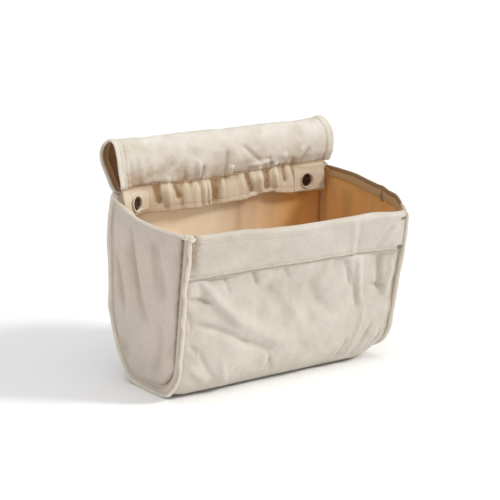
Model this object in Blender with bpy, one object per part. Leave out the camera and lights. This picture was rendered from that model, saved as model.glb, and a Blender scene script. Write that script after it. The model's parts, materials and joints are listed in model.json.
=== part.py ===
"""Canvas tool bag with a belt tunnel along its back and two pin eyelets on a hanging lip.

One sheet of canvas runs down the front, under the bottom and up the back. Two U-shaped end
panels close it, and each seam stands outside as a bound fin. The belt tunnel and the lip hang
on one line of stitches at the top of the back, so both swing about that line.

Frame: metres, +Z up, +X to the right seen from the front, +Y to the back. The origin is on the
floor, at mid width and at the middle of the mouth's depth.
"""

import math

import bmesh
import bpy
from mathutils import Matrix, Vector

MM = 0.001

# Overall size
WIDTH = 254 * MM
FRONT_HEIGHT = 160 * MM
BACK_HEIGHT = 181.5 * MM
OVERALL_HEIGHT = 231 * MM
MOUTH_FRONT_Y = -68 * MM
MOUTH_BACK_Y = 71 * MM

# Cloth layers, from the outside of a seam fin to its inside
GAP = 0.3 * MM
CANVAS = 1.2 * MM
TAPE = 0.8 * MM
HEM_TAPE = 0.6 * MM
BAND_CLOTH = 1.6 * MM
THREAD = 0.5 * MM
THREAD_WIDTH = 0.8 * MM

# The U that the fins follow: a leaning front, two rounded bottom corners and an upright back
FRONT_CORNER_Y = -49 * MM
FRONT_CORNER_Z = 34 * MM
FLAT_FRONT_Y = -12 * MM
FLAT_BACK_Y = 25 * MM
BACK_CORNER_Z = 75 * MM
BACK_BEND_Z = 140 * MM
BACK_TOP_Y = 62.8 * MM
LINE_STEPS = 2
FRONT_ARC_STEPS = 7
BACK_ARC_STEPS = 9
BACK_BEND_STEPS = 4
ROUND_HANDLE = 0.5523

# Seam fins
FIN_HEIGHT = 5.7 * MM
FIN_HEIGHT_AT_FLOOR = 3.0 * MM
TAPE_OUTER_LEG = 9 * MM
SAG_START = 1.0 * MM
SAG_WIDTH = 9 * MM
BACK_BULGE = 0.5 * MM

# Front band
BAND_HALF_WIDTH = 119 * MM
BAND_DROP = 40 * MM
BAND_FOLD = 14 * MM
BAND_STITCH_RISE = 3 * MM

# Hemmed rims of the end panels
RIM_RISE_POWER = 2
RIM_STEPS = 10
HEM_OUTER_LEG = 3 * MM
HEM_INNER_LEG = 10 * MM
HEM_STITCH_DROP = 7 * MM

# Bottom lining
LINER_HEIGHT = 28 * MM

# The seam that the tunnel and the lip swing about
SEAM_Y = 56.5 * MM
SEAM_Z = 184.5 * MM
SEAM_HALF_WIDTH = 117 * MM
SEAM_CORD = 0.5 * MM
SEAM_CORD_SIDES = 8

# Belt tunnel
TUNNEL_HALF_WIDTH = 126 * MM
TUNNEL_CLEARANCE = 1.5 * MM
TUNNEL_BULGE = 24 * MM
TUNNEL_LEAN = 11 * MM
TUNNEL_STEPS = 26
TUNNEL_POINT_TRIM = 0.7
TUNNEL_HEM_WIDTH = 4 * MM
TUNNEL_HEM_THICK = 1.9 * MM
TUNNEL_STITCH_IN = 9 * MM
TUNNEL_STITCH_TRIM = 0.85

# Lip
LIP_HALF_WIDTH = 118 * MM
LIP_Y = 53.5 * MM
LIP_BOTTOM = 160.5 * MM
LIP_BEND_Z = 180 * MM
LIP_TOP_Y = 54.2 * MM
LIP_TOP_Z = 182.6 * MM
LIP_TOP_TAPER = 0.6
LIP_CLOTH = 2.4 * MM
LIP_STITCH_RISE = 3.5 * MM
LEFT_PATCH = (-117.5 * MM, -90 * MM)
RIGHT_PATCH = (79.5 * MM, 117.5 * MM)
PATCH_TOP_DROP = 1 * MM

# Pin eyelets
LEFT_PIN_X = -108 * MM
RIGHT_PIN_X = 95 * MM
PIN_Z = 171 * MM
PIN_RADIUS = 6.5 * MM
EYELET_FLANGE = 1.8 * MM
EYELET_WALL = 0.7 * MM
EYELET_SEGMENTS = 32
EYELET_SMOOTH_ANGLE = 40
CUTTER_LENGTH = 20 * MM

# Bar tacks
TACK_LONG = 9 * MM
TACK_WIDE = 2 * MM
TACK_RISE = 6 * MM

CANVAS_COLOUR = (0.72, 0.64, 0.53)
END_COLOUR = (0.66, 0.58, 0.47)
TAPE_COLOUR = (0.79, 0.72, 0.61)
THREAD_COLOUR = (0.82, 0.75, 0.64)
LINER_COLOUR = (0.60, 0.44, 0.27)
DARK_THREAD_COLOUR = (0.36, 0.30, 0.24)


def clear_scene():
    for obj in list(bpy.data.objects):
        bpy.data.objects.remove(obj)


def make_material(name, colour, roughness=0.9):
    material = bpy.data.materials.new(name)
    material.use_nodes = True
    principled = material.node_tree.nodes["Principled BSDF"]
    principled.inputs["Base Color"].default_value = (*colour, 1.0)
    principled.inputs["Roughness"].default_value = roughness
    principled.inputs["Metallic"].default_value = 0.0
    return material


def add_object(name, bm, material, smooth_angle=None):
    """Turn a bmesh into a named object with outward faces."""
    bmesh.ops.recalc_face_normals(bm, faces=bm.faces)
    mesh = bpy.data.meshes.new(name)
    bm.to_mesh(mesh)
    bm.free()
    mesh.materials.append(material)
    if smooth_angle is not None:
        mesh.shade_smooth()
        mesh.set_sharp_from_angle(angle=math.radians(smooth_angle))
    obj = bpy.data.objects.new(name, mesh)
    bpy.context.scene.collection.objects.link(obj)
    return obj


def loft(rings, closed=False):
    """A solid through rings of points. Open lofts get end caps; closed ones join up."""
    bm = bmesh.new()
    rows = [[bm.verts.new(point) for point in ring] for ring in rings]
    count = len(rows[0])
    pairs = list(zip(rows, rows[1:]))
    if closed:
        pairs.append((rows[-1], rows[0]))
    for row, following in pairs:
        for i in range(count):
            j = (i + 1) % count
            bm.faces.new((row[i], row[j], following[j], following[i]))
    if not closed:
        bm.faces.new(list(reversed(rows[0])))
        bm.faces.new(rows[-1])
    return bm


def block(low, high):
    """A box between two corners."""
    bm = bmesh.new()
    bmesh.ops.create_cube(bm, size=1.0)
    size = Vector(high) - Vector(low)
    centre = (Vector(high) + Vector(low)) / 2
    bmesh.ops.transform(bm, matrix=Matrix.Diagonal((*size, 1.0)), verts=bm.verts)
    bmesh.ops.translate(bm, vec=centre, verts=bm.verts)
    return bm


def extrude_x(outline, x_low, x_high):
    """A solid with a Y-Z outline, between two X planes."""
    return loft([[(x, y, z) for y, z in outline] for x in (x_low, x_high)])


def swing_about_seam(objects, name):
    """Parent objects to an empty on the seam line, which is their hinge axis."""
    hinge = bpy.data.objects.new(name, None)
    hinge.location = (0.0, SEAM_Y, SEAM_Z)
    bpy.context.scene.collection.objects.link(hinge)
    for obj in objects:
        obj.data.transform(Matrix.Translation((0.0, -SEAM_Y, -SEAM_Z)))
        obj.parent = hinge


# ---------------------------------------------------------------- the U path


def corner_arc(start, corner, end, steps):
    """Points of a rounded corner, without its first point."""
    start, corner, end = Vector(start), Vector(corner), Vector(end)
    first = start.lerp(corner, ROUND_HANDLE)
    second = end.lerp(corner, ROUND_HANDLE)
    points = []
    for i in range(1, steps + 1):
        t = i / steps
        a = start * (1 - t) ** 3 + first * 3 * t * (1 - t) ** 2
        b = second * 3 * t**2 * (1 - t) + end * t**3
        points.append(a + b)
    return points


def u_path():
    """(point, inward normal) pairs in Y-Z, from the front rim under the bag to the back rim."""
    top = Vector((MOUTH_FRONT_Y, FRONT_HEIGHT))
    front_corner = Vector((FRONT_CORNER_Y, FRONT_CORNER_Z))
    slope = (front_corner - top) / (top.y - front_corner.y)
    foot = front_corner + slope * FRONT_CORNER_Z
    points = [top.lerp(front_corner, i / LINE_STEPS) for i in range(LINE_STEPS + 1)]
    points += corner_arc(front_corner, foot, (FLAT_FRONT_Y, 0), FRONT_ARC_STEPS)
    points.append(Vector((FLAT_BACK_Y, 0)))
    points += corner_arc(
        (FLAT_BACK_Y, 0), (MOUTH_BACK_Y, 0), (MOUTH_BACK_Y, BACK_CORNER_Z), BACK_ARC_STEPS
    )
    for i in range(BACK_BEND_STEPS + 1):
        t = i / BACK_BEND_STEPS
        y = MOUTH_BACK_Y + (BACK_TOP_Y - MOUTH_BACK_Y) * t**2
        points.append(Vector((y, BACK_BEND_Z + (BACK_HEIGHT - BACK_BEND_Z) * t)))
    stations = []
    for i, point in enumerate(points):
        before = points[max(i - 1, 0)]
        after = points[min(i + 1, len(points) - 1)]
        along = (after - before).normalized()
        normal = Vector((-along.y, along.x))
        if i in (0, len(points) - 1):
            normal = Vector((1.0 / normal.x, 0.0))
        stations.append((point, normal))
    return stations


def bottom_blend(z):
    """0 on the floor and 1 from the top of the front's rounded corner."""
    t = min(max(z / FRONT_CORNER_Z, 0.0), 1.0)
    return t * t * (3 - 2 * t)


def fin_height(point):
    """How far the sheet lies inside the fin's edge: less where the weight presses the seam."""
    rise = FIN_HEIGHT - FIN_HEIGHT_AT_FLOOR
    return FIN_HEIGHT_AT_FLOOR + rise * bottom_blend(point.y)


def sag_depth(point):
    """The same away from the fins, where the sheet drops to the floor and bulges at the back."""
    bulge = BACK_BULGE if point.x > FLAT_BACK_Y else 0.0
    return (FIN_HEIGHT - bulge) * bottom_blend(point.y)


def sweep_u(section, stations):
    """A solid with an (x, depth) section that may change along the U."""
    rings = []
    for point, normal in stations:
        ring = []
        for x, depth in section(point):
            place = point + normal * depth
            ring.append((x, place.x, place.y))
        rings.append(ring)
    return loft(rings)


def mirrored(points, side):
    return [(side * x, depth) for x, depth in points]


# Layers of the right-hand fin, as distances from mid width
FIN_THREAD_X = WIDTH / 2
TAPE_OUTER_X = FIN_THREAD_X - THREAD - GAP
PANEL_X = TAPE_OUTER_X - TAPE - GAP
FLANGE_X = PANEL_X - CANVAS - GAP
TAPE_INNER_X = FLANGE_X - CANVAS - GAP
SHEET_SAG_X = TAPE_INNER_X - TAPE - SAG_START
EDGE_DEPTH = TAPE + GAP


def body_section(point):
    main = fin_height(point)
    sag = sag_depth(point)
    half = [
        (FLANGE_X, EDGE_DEPTH),
        (FLANGE_X - CANVAS, EDGE_DEPTH),
        (FLANGE_X - CANVAS, main),
        (SHEET_SAG_X, main),
        (SHEET_SAG_X - SAG_WIDTH, sag),
    ]
    inner = [
        (SHEET_SAG_X - SAG_WIDTH, sag + CANVAS),
        (SHEET_SAG_X, main + CANVAS),
        (FLANGE_X, main + CANVAS),
    ]
    outside = mirrored(half, -1) + list(reversed(half))
    inside = list(reversed(inner)) + mirrored(inner, -1)
    return outside + inside


def tape_section(side):
    def section(point):
        leg = fin_height(point) - GAP
        return mirrored(
            [
                (TAPE_OUTER_X, 0.0),
                (TAPE_INNER_X - TAPE, 0.0),
                (TAPE_INNER_X - TAPE, leg),
                (TAPE_INNER_X, leg),
                (TAPE_INNER_X, TAPE),
                (TAPE_OUTER_X - TAPE, TAPE),
                (TAPE_OUTER_X - TAPE, TAPE_OUTER_LEG),
                (TAPE_OUTER_X, TAPE_OUTER_LEG),
            ],
            side,
        )

    return section


def seam_thread_section(side):
    def section(point):
        depth = fin_height(point)
        return mirrored(
            [
                (FIN_THREAD_X, depth),
                (FIN_THREAD_X - THREAD, depth),
                (FIN_THREAD_X - THREAD, depth + THREAD_WIDTH),
                (FIN_THREAD_X, depth + THREAD_WIDTH),
            ],
            side,
        )

    return section


def rim_height(y):
    """Height of an end panel's rim, rising from the front corner to the back corner."""
    t = (y - MOUTH_FRONT_Y) / (BACK_TOP_Y - MOUTH_FRONT_Y)
    t = min(max(t, 0.0), 1.0)
    return FRONT_HEIGHT + (BACK_HEIGHT - FRONT_HEIGHT) * t**RIM_RISE_POWER


def add_end_panel(name, side, stations, material):
    """The flat U-shaped panel between the tape's legs, under the rim's hem."""
    outline = []
    for point, normal in stations:
        place = point + normal * EDGE_DEPTH
        outline.append((place.x, place.y))
    hem_front = outline[0][0] + TAPE_OUTER_LEG
    hem_back = outline[-1][0] - TAPE_OUTER_LEG
    drop = HEM_TAPE + GAP
    for i in range(RIM_STEPS + 1):
        y = hem_back + (hem_front - hem_back) * i / RIM_STEPS
        outline.append((y, rim_height(y) - drop))
    bm = extrude_x(outline, side * PANEL_X, side * (PANEL_X - CANVAS))
    return add_object(name, bm, material)


def rim_sweep(section, side, front, back):
    """A solid with an (x, drop below the rim) section, along an end panel's rim."""
    rings = []
    for i in range(RIM_STEPS + 1):
        y = front + (back - front) * i / RIM_STEPS
        rings.append([(side * x, y, rim_height(y) - drop) for x, drop in section])
    return loft(rings)


def add_rim(side_name, side, tape_material, thread_material):
    """The folded hem on an end panel's rim and the row of stitches inside it."""
    front = MOUTH_FRONT_Y + EDGE_DEPTH + TAPE_OUTER_LEG + GAP
    back = BACK_TOP_Y - EDGE_DEPTH - TAPE_OUTER_LEG - GAP
    outer = PANEL_X + GAP + HEM_TAPE
    inner = PANEL_X - CANVAS - GAP - HEM_TAPE
    hem = [
        (outer, HEM_OUTER_LEG),
        (outer, 0.0),
        (inner, 0.0),
        (inner, HEM_INNER_LEG),
        (inner + HEM_TAPE, HEM_INNER_LEG),
        (inner + HEM_TAPE, HEM_TAPE),
        (outer - HEM_TAPE, HEM_TAPE),
        (outer - HEM_TAPE, HEM_OUTER_LEG),
    ]
    thread_x = inner - GAP
    thread = [
        (thread_x, HEM_STITCH_DROP),
        (thread_x - THREAD, HEM_STITCH_DROP),
        (thread_x - THREAD, HEM_STITCH_DROP + THREAD_WIDTH),
        (thread_x, HEM_STITCH_DROP + THREAD_WIDTH),
    ]
    add_object(f"{side_name}_rim_hem", rim_sweep(hem, side, front, back), tape_material)
    add_object(
        f"{side_name}_rim_thread", rim_sweep(thread, side, front, back), thread_material
    )


def add_front_band(stations, cloth, thread_cloth):
    """A band folded over the front rim, and the row of stitches along its lower edge."""
    top = stations[0][0]
    down = (stations[LINE_STEPS][0] - top).normalized()
    inward = Vector((-down.y, down.x))

    def place(drop, depth):
        point = top + down * drop + inward * depth
        return (point.x, point.y)

    face = FIN_HEIGHT - GAP
    back_of_sheet = FIN_HEIGHT + CANVAS + GAP
    lift = -(GAP + BAND_CLOTH)
    outline = [
        place(BAND_DROP, face - BAND_CLOTH),
        place(lift, face - BAND_CLOTH),
        place(lift, back_of_sheet + BAND_CLOTH),
        place(BAND_FOLD, back_of_sheet + BAND_CLOTH),
        place(BAND_FOLD, back_of_sheet),
        place(lift + BAND_CLOTH, back_of_sheet),
        place(lift + BAND_CLOTH, face),
        place(BAND_DROP, face),
    ]
    bm = extrude_x(outline, -BAND_HALF_WIDTH, BAND_HALF_WIDTH)
    add_object("front_band", bm, cloth)
    stitch = BAND_DROP - BAND_STITCH_RISE
    surface = face - BAND_CLOTH - GAP
    row = [
        place(stitch, surface),
        place(stitch, surface - THREAD),
        place(stitch + THREAD_WIDTH, surface - THREAD),
        place(stitch + THREAD_WIDTH, surface),
    ]
    bm = extrude_x(row, -BAND_HALF_WIDTH, BAND_HALF_WIDTH)
    add_object("front_band_thread", bm, thread_cloth)
    return place


def add_bottom_liner(stations, material):
    """A second layer of canvas inside the bottom, up to the start of the walls."""
    low = [s for s in stations if s[0].y <= LINER_HEIGHT]

    def section(point):
        inner = sag_depth(point) + CANVAS + GAP
        x_edge = SHEET_SAG_X - SAG_WIDTH - GAP
        return [
            (-x_edge, inner),
            (x_edge, inner),
            (x_edge, inner + CANVAS),
            (-x_edge, inner + CANVAS),
        ]

    return add_object("bottom_liner", sweep_u(section, low), material)


# ---------------------------------------------------------------- belt tunnel


def tunnel_loop_points(offset, trim, steps=TUNNEL_STEPS):
    """A teardrop in Y-Z, point down at the seam, pushed outwards by offset."""
    bottom = SEAM_Z + TUNNEL_CLEARANCE
    height = OVERALL_HEIGHT - CANVAS - bottom

    def centre_line(t):
        rise = (1 - math.cos(t)) / 2
        bulge = TUNNEL_BULGE * math.sin(t) * math.sin(t / 2) ** 2
        return Vector((SEAM_Y + TUNNEL_LEAN * rise + bulge, bottom + height * rise))

    points = []
    for i in range(steps + 1):
        t = trim + (2 * math.pi - 2 * trim) * i / steps
        nudge = 1e-3
        along = centre_line(t + nudge) - centre_line(t - nudge)
        if i == 0 and trim == 0:
            along = Vector((0.0, 1.0))
        if i == steps and trim == 0:
            along = Vector((0.0, -1.0))
        along.normalize()
        out = Vector((along.y, -along.x))
        place = centre_line(t) + out * offset
        points.append((place.x, place.y))
    return points


def tube_x(outer, inner, x_low, x_high):
    """A tube along X between an outer and an inner loop with as many points."""
    bm = bmesh.new()
    loops = []
    for loop in (outer, inner):
        for x in (x_low, x_high):
            loops.append([bm.verts.new((x, y, z)) for y, z in loop])
    outer_low, outer_high, inner_low, inner_high = loops
    count = len(outer)
    for i in range(count):
        j = (i + 1) % count
        bm.faces.new((outer_low[i], outer_low[j], outer_high[j], outer_high[i]))
        bm.faces.new((inner_low[j], inner_low[i], inner_high[i], inner_high[j]))
        bm.faces.new((outer_low[j], outer_low[i], inner_low[i], inner_low[j]))
        bm.faces.new((outer_high[i], outer_high[j], inner_high[j], inner_high[i]))
    return bm


def add_tunnel(cloth, hem_cloth, thread_cloth):
    """The cloth loop, its rolled ends and their stitches."""
    wall_end = TUNNEL_HALF_WIDTH - TUNNEL_HEM_WIDTH - GAP
    outer = tunnel_loop_points(CANVAS, 0.0)
    inner = tunnel_loop_points(0.0, TUNNEL_POINT_TRIM)
    pieces = [add_object("tunnel_loop", tube_x(outer, inner, -wall_end, wall_end), cloth)]
    hem_spread = (TUNNEL_HEM_THICK - CANVAS) / 2
    hem_outer = tunnel_loop_points(CANVAS + hem_spread, 0.0)
    hem_inner = tunnel_loop_points(-hem_spread, TUNNEL_POINT_TRIM)
    stitch_outer = tunnel_loop_points(CANVAS + GAP + THREAD, TUNNEL_STITCH_TRIM)
    stitch_inner = tunnel_loop_points(CANVAS + GAP, TUNNEL_STITCH_TRIM)
    for side_name, side in (("left", -1), ("right", 1)):
        ends = sorted((side * TUNNEL_HALF_WIDTH, side * (wall_end + GAP)))
        pieces.append(
            add_object(f"tunnel_{side_name}_hem", tube_x(hem_outer, hem_inner, *ends), hem_cloth)
        )
        stitch_x = side * (TUNNEL_HALF_WIDTH - TUNNEL_STITCH_IN)
        row = stitch_outer + list(reversed(stitch_inner))
        bm = extrude_x(row, stitch_x - THREAD_WIDTH / 2, stitch_x + THREAD_WIDTH / 2)
        pieces.append(add_object(f"tunnel_{side_name}_thread", bm, thread_cloth))
    swing_about_seam(pieces, "tunnel_hinge_axis")


# ---------------------------------------------------------------- lip and eyelets


def cut_pin_hole(obj, x, radius, cutter_name):
    """Bore a round hole along Y through a piece of the lip."""
    bm = bmesh.new()
    turn = Matrix.Rotation(math.pi / 2, 4, "X")
    bmesh.ops.create_cone(
        bm,
        cap_ends=True,
        segments=EYELET_SEGMENTS,
        radius1=radius,
        radius2=radius,
        depth=CUTTER_LENGTH,
        matrix=Matrix.Translation((x, LIP_Y, PIN_Z)) @ turn,
    )
    mesh = bpy.data.meshes.new(cutter_name)
    bm.to_mesh(mesh)
    bm.free()
    cutter = bpy.data.objects.new(cutter_name, mesh)
    bpy.context.scene.collection.objects.link(cutter)
    cutter.hide_render = True
    cutter.display_type = "WIRE"
    modifier = obj.modifiers.new(f"{cutter_name}_cut", "BOOLEAN")
    modifier.operation = "DIFFERENCE"
    modifier.solver = "EXACT"
    modifier.object = cutter
    return cutter


def turned_about_pin(profile, x):
    """A closed (radius, y) profile turned about a pin hole's axis."""
    rings = []
    for i in range(EYELET_SEGMENTS):
        angle = 2 * math.pi * i / EYELET_SEGMENTS
        rings.append(
            [
                (x + radius * math.cos(angle), y, PIN_Z + radius * math.sin(angle))
                for radius, y in profile
            ]
        )
    return loft(rings, closed=True)


def add_lip(cloth, patch_cloth, eyelet_cloth, thread_cloth):
    """The hanging lip, a patch at each end, and a sewn eyelet through each patch."""
    half = LIP_CLOTH / 2
    front = LIP_Y - half
    back = LIP_Y + half
    outline = [
        (front, LIP_BOTTOM),
        (back, LIP_BOTTOM),
        (back, LIP_BEND_Z),
        (LIP_TOP_Y + half * LIP_TOP_TAPER, LIP_TOP_Z - half),
        (LIP_TOP_Y - half * LIP_TOP_TAPER, LIP_TOP_Z),
        (front, LIP_BEND_Z + half),
    ]
    lip = add_object("lip_sheet", extrude_x(outline, -LIP_HALF_WIDTH, LIP_HALF_WIDTH), cloth)
    pieces = [lip]
    cutters = []
    hole = PIN_RADIUS + EYELET_WALL + GAP
    patch_back = front - GAP
    patch_front = patch_back - TAPE
    for side_name, x, ends in (
        ("left", LEFT_PIN_X, LEFT_PATCH),
        ("right", RIGHT_PIN_X, RIGHT_PATCH),
    ):
        low = (ends[0], patch_front, LIP_BOTTOM)
        high = (ends[1], patch_back, LIP_BEND_Z - PATCH_TOP_DROP)
        patch = add_object(f"{side_name}_pin_patch", block(low, high), patch_cloth)
        cutters.append(cut_pin_hole(lip, x, hole, f"{side_name}_lip_cutter"))
        cutters.append(cut_pin_hole(patch, x, hole, f"{side_name}_patch_cutter"))
        flange = hole + EYELET_FLANGE
        near = patch_front - GAP
        far = back + GAP
        profile = [
            (PIN_RADIUS, near - EYELET_WALL),
            (flange, near - EYELET_WALL),
            (flange, near),
            (PIN_RADIUS + EYELET_WALL, near),
            (PIN_RADIUS + EYELET_WALL, far),
            (flange, far),
            (flange, far + EYELET_WALL),
            (PIN_RADIUS, far + EYELET_WALL),
        ]
        ring = turned_about_pin(profile, x)
        eyelet = add_object(
            f"{side_name}_pin_eyelet", ring, eyelet_cloth, EYELET_SMOOTH_ANGLE
        )
        pieces += [patch, eyelet]
    row_z = LIP_BOTTOM + LIP_STITCH_RISE
    bm = block(
        (LEFT_PATCH[1] + GAP, front - GAP - THREAD, row_z),
        (RIGHT_PATCH[0] - GAP, front - GAP, row_z + THREAD_WIDTH),
    )
    pieces.append(add_object("lip_hem_thread", bm, thread_cloth))
    swing_about_seam(pieces + cutters, "lip_hinge_axis")


# ---------------------------------------------------------------- seam thread and tacks


def add_seam_thread(material):
    """The row of stitches that the tunnel and the lip hang on, along their hinge axis."""
    outline = []
    for i in range(SEAM_CORD_SIDES):
        angle = 2 * math.pi * i / SEAM_CORD_SIDES
        outline.append(
            (SEAM_Y + SEAM_CORD * math.cos(angle), SEAM_Z + SEAM_CORD * math.sin(angle))
        )
    bm = extrude_x(outline, -SEAM_HALF_WIDTH, SEAM_HALF_WIDTH)
    add_object("tunnel_seam_thread", bm, material)


def add_tacks(place_on_front, material):
    """Short dense rows of stitches where the seams end."""
    surface = FIN_HEIGHT - GAP - BAND_CLOTH - GAP
    for side_name, side in (("left", -1), ("right", 1)):
        for label, drop in (("rim", TACK_WIDE), ("band", BAND_DROP - TACK_RISE)):
            row = [
                place_on_front(drop, surface),
                place_on_front(drop, surface - THREAD),
                place_on_front(drop + TACK_WIDE, surface - THREAD),
                place_on_front(drop + TACK_WIDE, surface),
            ]
            end = BAND_HALF_WIDTH - TACK_WIDE
            ends = sorted((side * end, side * (end - TACK_LONG)))
            add_object(f"{label}_{side_name}_tack", extrude_x(row, *ends), material)


def build():
    clear_scene()
    canvas = make_material("canvas", CANVAS_COLOUR)
    end_canvas = make_material("end_canvas", END_COLOUR)
    tape = make_material("seam_tape", TAPE_COLOUR)
    thread = make_material("thread", THREAD_COLOUR, 0.8)
    tack_thread = make_material("tack_thread", DARK_THREAD_COLOUR, 0.8)
    liner = make_material("liner_canvas", LINER_COLOUR)

    stations = u_path()
    add_object("body_sheet", sweep_u(body_section, stations), canvas)
    for side_name, side in (("left", -1), ("right", 1)):
        add_end_panel(f"{side_name}_end_panel", side, stations, end_canvas)
        add_object(
            f"{side_name}_seam_binding", sweep_u(tape_section(side), stations), tape
        )
        add_object(
            f"{side_name}_seam_thread", sweep_u(seam_thread_section(side), stations), thread
        )
        add_rim(side_name, side, tape, thread)
    place_on_front = add_front_band(stations, canvas, thread)
    add_bottom_liner(stations, liner)
    add_tunnel(canvas, tape, thread)
    add_lip(canvas, canvas, tape, thread)
    add_seam_thread(thread)
    add_tacks(place_on_front, tack_thread)


build()
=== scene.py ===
"""The looks of a canvas tool bag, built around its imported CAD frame."""

import json
import math

import bmesh
import bpy
import numpy as np
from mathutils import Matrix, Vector


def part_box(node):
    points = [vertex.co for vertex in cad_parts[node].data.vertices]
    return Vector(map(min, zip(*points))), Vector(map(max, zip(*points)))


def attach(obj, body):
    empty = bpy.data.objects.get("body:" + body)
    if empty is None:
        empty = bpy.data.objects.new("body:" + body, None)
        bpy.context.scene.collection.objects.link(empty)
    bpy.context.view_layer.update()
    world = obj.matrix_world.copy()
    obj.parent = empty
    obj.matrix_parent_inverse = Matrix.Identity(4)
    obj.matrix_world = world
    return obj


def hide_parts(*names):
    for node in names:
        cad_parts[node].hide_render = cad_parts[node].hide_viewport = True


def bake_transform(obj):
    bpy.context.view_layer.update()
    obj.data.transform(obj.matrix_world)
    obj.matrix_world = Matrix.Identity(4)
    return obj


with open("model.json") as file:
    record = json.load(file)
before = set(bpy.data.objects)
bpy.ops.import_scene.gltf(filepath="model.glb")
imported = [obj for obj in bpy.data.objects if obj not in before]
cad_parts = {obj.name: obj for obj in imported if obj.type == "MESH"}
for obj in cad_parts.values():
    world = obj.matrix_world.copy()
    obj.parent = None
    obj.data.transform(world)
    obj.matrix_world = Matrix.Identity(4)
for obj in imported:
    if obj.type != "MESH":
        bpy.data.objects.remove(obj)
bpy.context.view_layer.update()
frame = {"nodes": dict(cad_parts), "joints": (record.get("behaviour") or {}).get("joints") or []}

MM = 0.001

# ------------------------------------------------------------------ sizes from the frame


def points_of(mesh):
    """The positions of a mesh's vertices, as an array."""
    co = np.empty(len(mesh.vertices) * 3, np.float32)
    mesh.vertices.foreach_get("co", co)
    return co.reshape(-1, 3).astype(float)


def low(name):
    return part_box(name)[0]


def high(name):
    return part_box(name)[1]


SEAM = Vector(next(j["pos_m"] for j in frame["joints"] if j["name"] == "tunnel_fold"))
FIN_OUT = high("right_seam_binding").x
FIN_IN = low("right_seam_binding").x
PANEL_X = high("right_end_panel").x
RIM_FRONT = low("left_seam_binding").y
FIN_DEPTH = low("left_seam_thread").y - RIM_FRONT
TAPE_REACH = low("left_rim_hem").y - RIM_FRONT
RIM_Z = 160 * MM
BACK_Z = high("left_seam_binding").z
BAND_X = high("front_band").x
BAND_DROP = 40 * MM
BAND_ROW = BAND_DROP - 3.2 * MM
CLOTH = 1.2 * MM
LIP_X = high("lip_sheet").x
LIP_FRONT = low("lip_sheet").y
LIP_LOW = low("lip_sheet").z
SIDES = {-1: "left", 1: "right"}
PINS = {side: (low(f"{name}_pin_eyelet") + high(f"{name}_pin_eyelet")) / 2
        for side, name in SIDES.items()}
TABS = {side: (low(f"{name}_pin_patch").x, high(f"{name}_pin_patch").x)
        for side, name in SIDES.items()}
WALL_Y = 54.4 * MM  # the sheet's front face at the stitch row
PIN_R = 6.5 * MM
HOLE_R = PIN_R + 0.6 * MM
STITCH = 4.4 * MM

# ------------------------------------------------------------------ numbers


def smooth01(t):
    t = np.clip(t, 0.0, 1.0)
    return t * t * (3 - 2 * t)


def rise(x, start, width):
    """From 0 at start to 1 a width further on, both in millimetres."""
    return smooth01((x - start * MM) / (width * MM))


def fall(x, end, width):
    """From 1 to 0 at end, over a width, both in millimetres."""
    return smooth01((end * MM - x) / (width * MM))


def bell(d, width):
    return np.exp(-((d / width) ** 2))


def hump(x, centre, width):
    """A bell of height 1, with its centre and width in millimetres."""
    return bell(x - centre * MM, width * MM)


def noise1(x, seed):
    """Smooth random values of one coordinate, from -1 to 1, with features one unit long."""
    table = np.random.default_rng(seed).uniform(-1, 1, 512)
    i = np.floor(x).astype(int)
    t = smooth01(x - i)
    return table[i % 512] * (1 - t) + table[(i + 1) % 512] * t


def wander(x, length, seed):
    """The same with features of a length in millimetres."""
    return noise1(x / (length * MM), seed)


def noise2(x, y, seed):
    """Smooth random values of two coordinates, from -1 to 1."""
    table = np.random.default_rng(seed).uniform(-1, 1, (128, 128))
    i, j = np.floor(x).astype(int), np.floor(y).astype(int)
    t, u = smooth01(x - i), smooth01(y - j)
    a, b = i % 128, (i + 1) % 128
    c, d = j % 128, (j + 1) % 128
    low_row = table[a, c] * (1 - t) + table[b, c] * t
    high_row = table[a, d] * (1 - t) + table[b, d] * t
    return low_row * (1 - u) + high_row * u


def crumple(x, y, size, seed, octaves=3):
    """Random relief with features of a size in millimetres, and finer ones on top."""
    size, total = size * MM, 0.0
    for k in range(octaves):
        total = total + noise2(x / size * 2**k + 17.3 * k, y / size * 2**k, seed + k) / 2**k
    return total


def gathers(along, away, spacing, reach, seed):
    """Puckers that run away from a seam: tight at the seam, and merging into broad soft ones."""
    spacing, reach = spacing * MM, reach * MM
    near = noise1(along / spacing, seed) * np.exp(-np.abs(away) / reach)
    wide = noise1(along / (2.3 * spacing), seed + 1) * np.exp(-np.abs(away) / (2.6 * reach))
    return near * 0.65 + wide * 0.6


def fold(x, z, start, end, width, bow=0.0):
    """A soft ridge of height 1 from start to end that fades at both ends."""
    ax, az = start
    bx, bz = end
    dx, dz = bx - ax, bz - az
    length = math.hypot(dx, dz)
    t = ((x - ax) * dx + (z - az) * dz) / length**2
    off = ((x - ax) * dz - (z - az) * dx) / length
    off = off - bow * 4 * t * (1 - t)
    ends = smooth01((t + 0.25) / 0.4) * smooth01((1.25 - t) / 0.4)
    return bell(off, width) * ends


def add_folds(out, table, x, z, tall, wide=1.0, share=1.0):
    """Add every fold of a table: start, end, width, height and bow, all in millimetres."""
    for start, end, width, height, *bow in table:
        a, b = (np.array(place) * MM for place in (start, end))
        ridge = fold(x, z, a, b, wide * width * MM, *(bend * MM for bend in bow))
        out = out + tall * height * ridge * share
    return out


def lengths(points):
    """How far along a line each of its points is."""
    steps = np.linalg.norm(np.diff(points, axis=0), axis=1)
    return np.concatenate([[0], np.cumsum(steps)])


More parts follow.
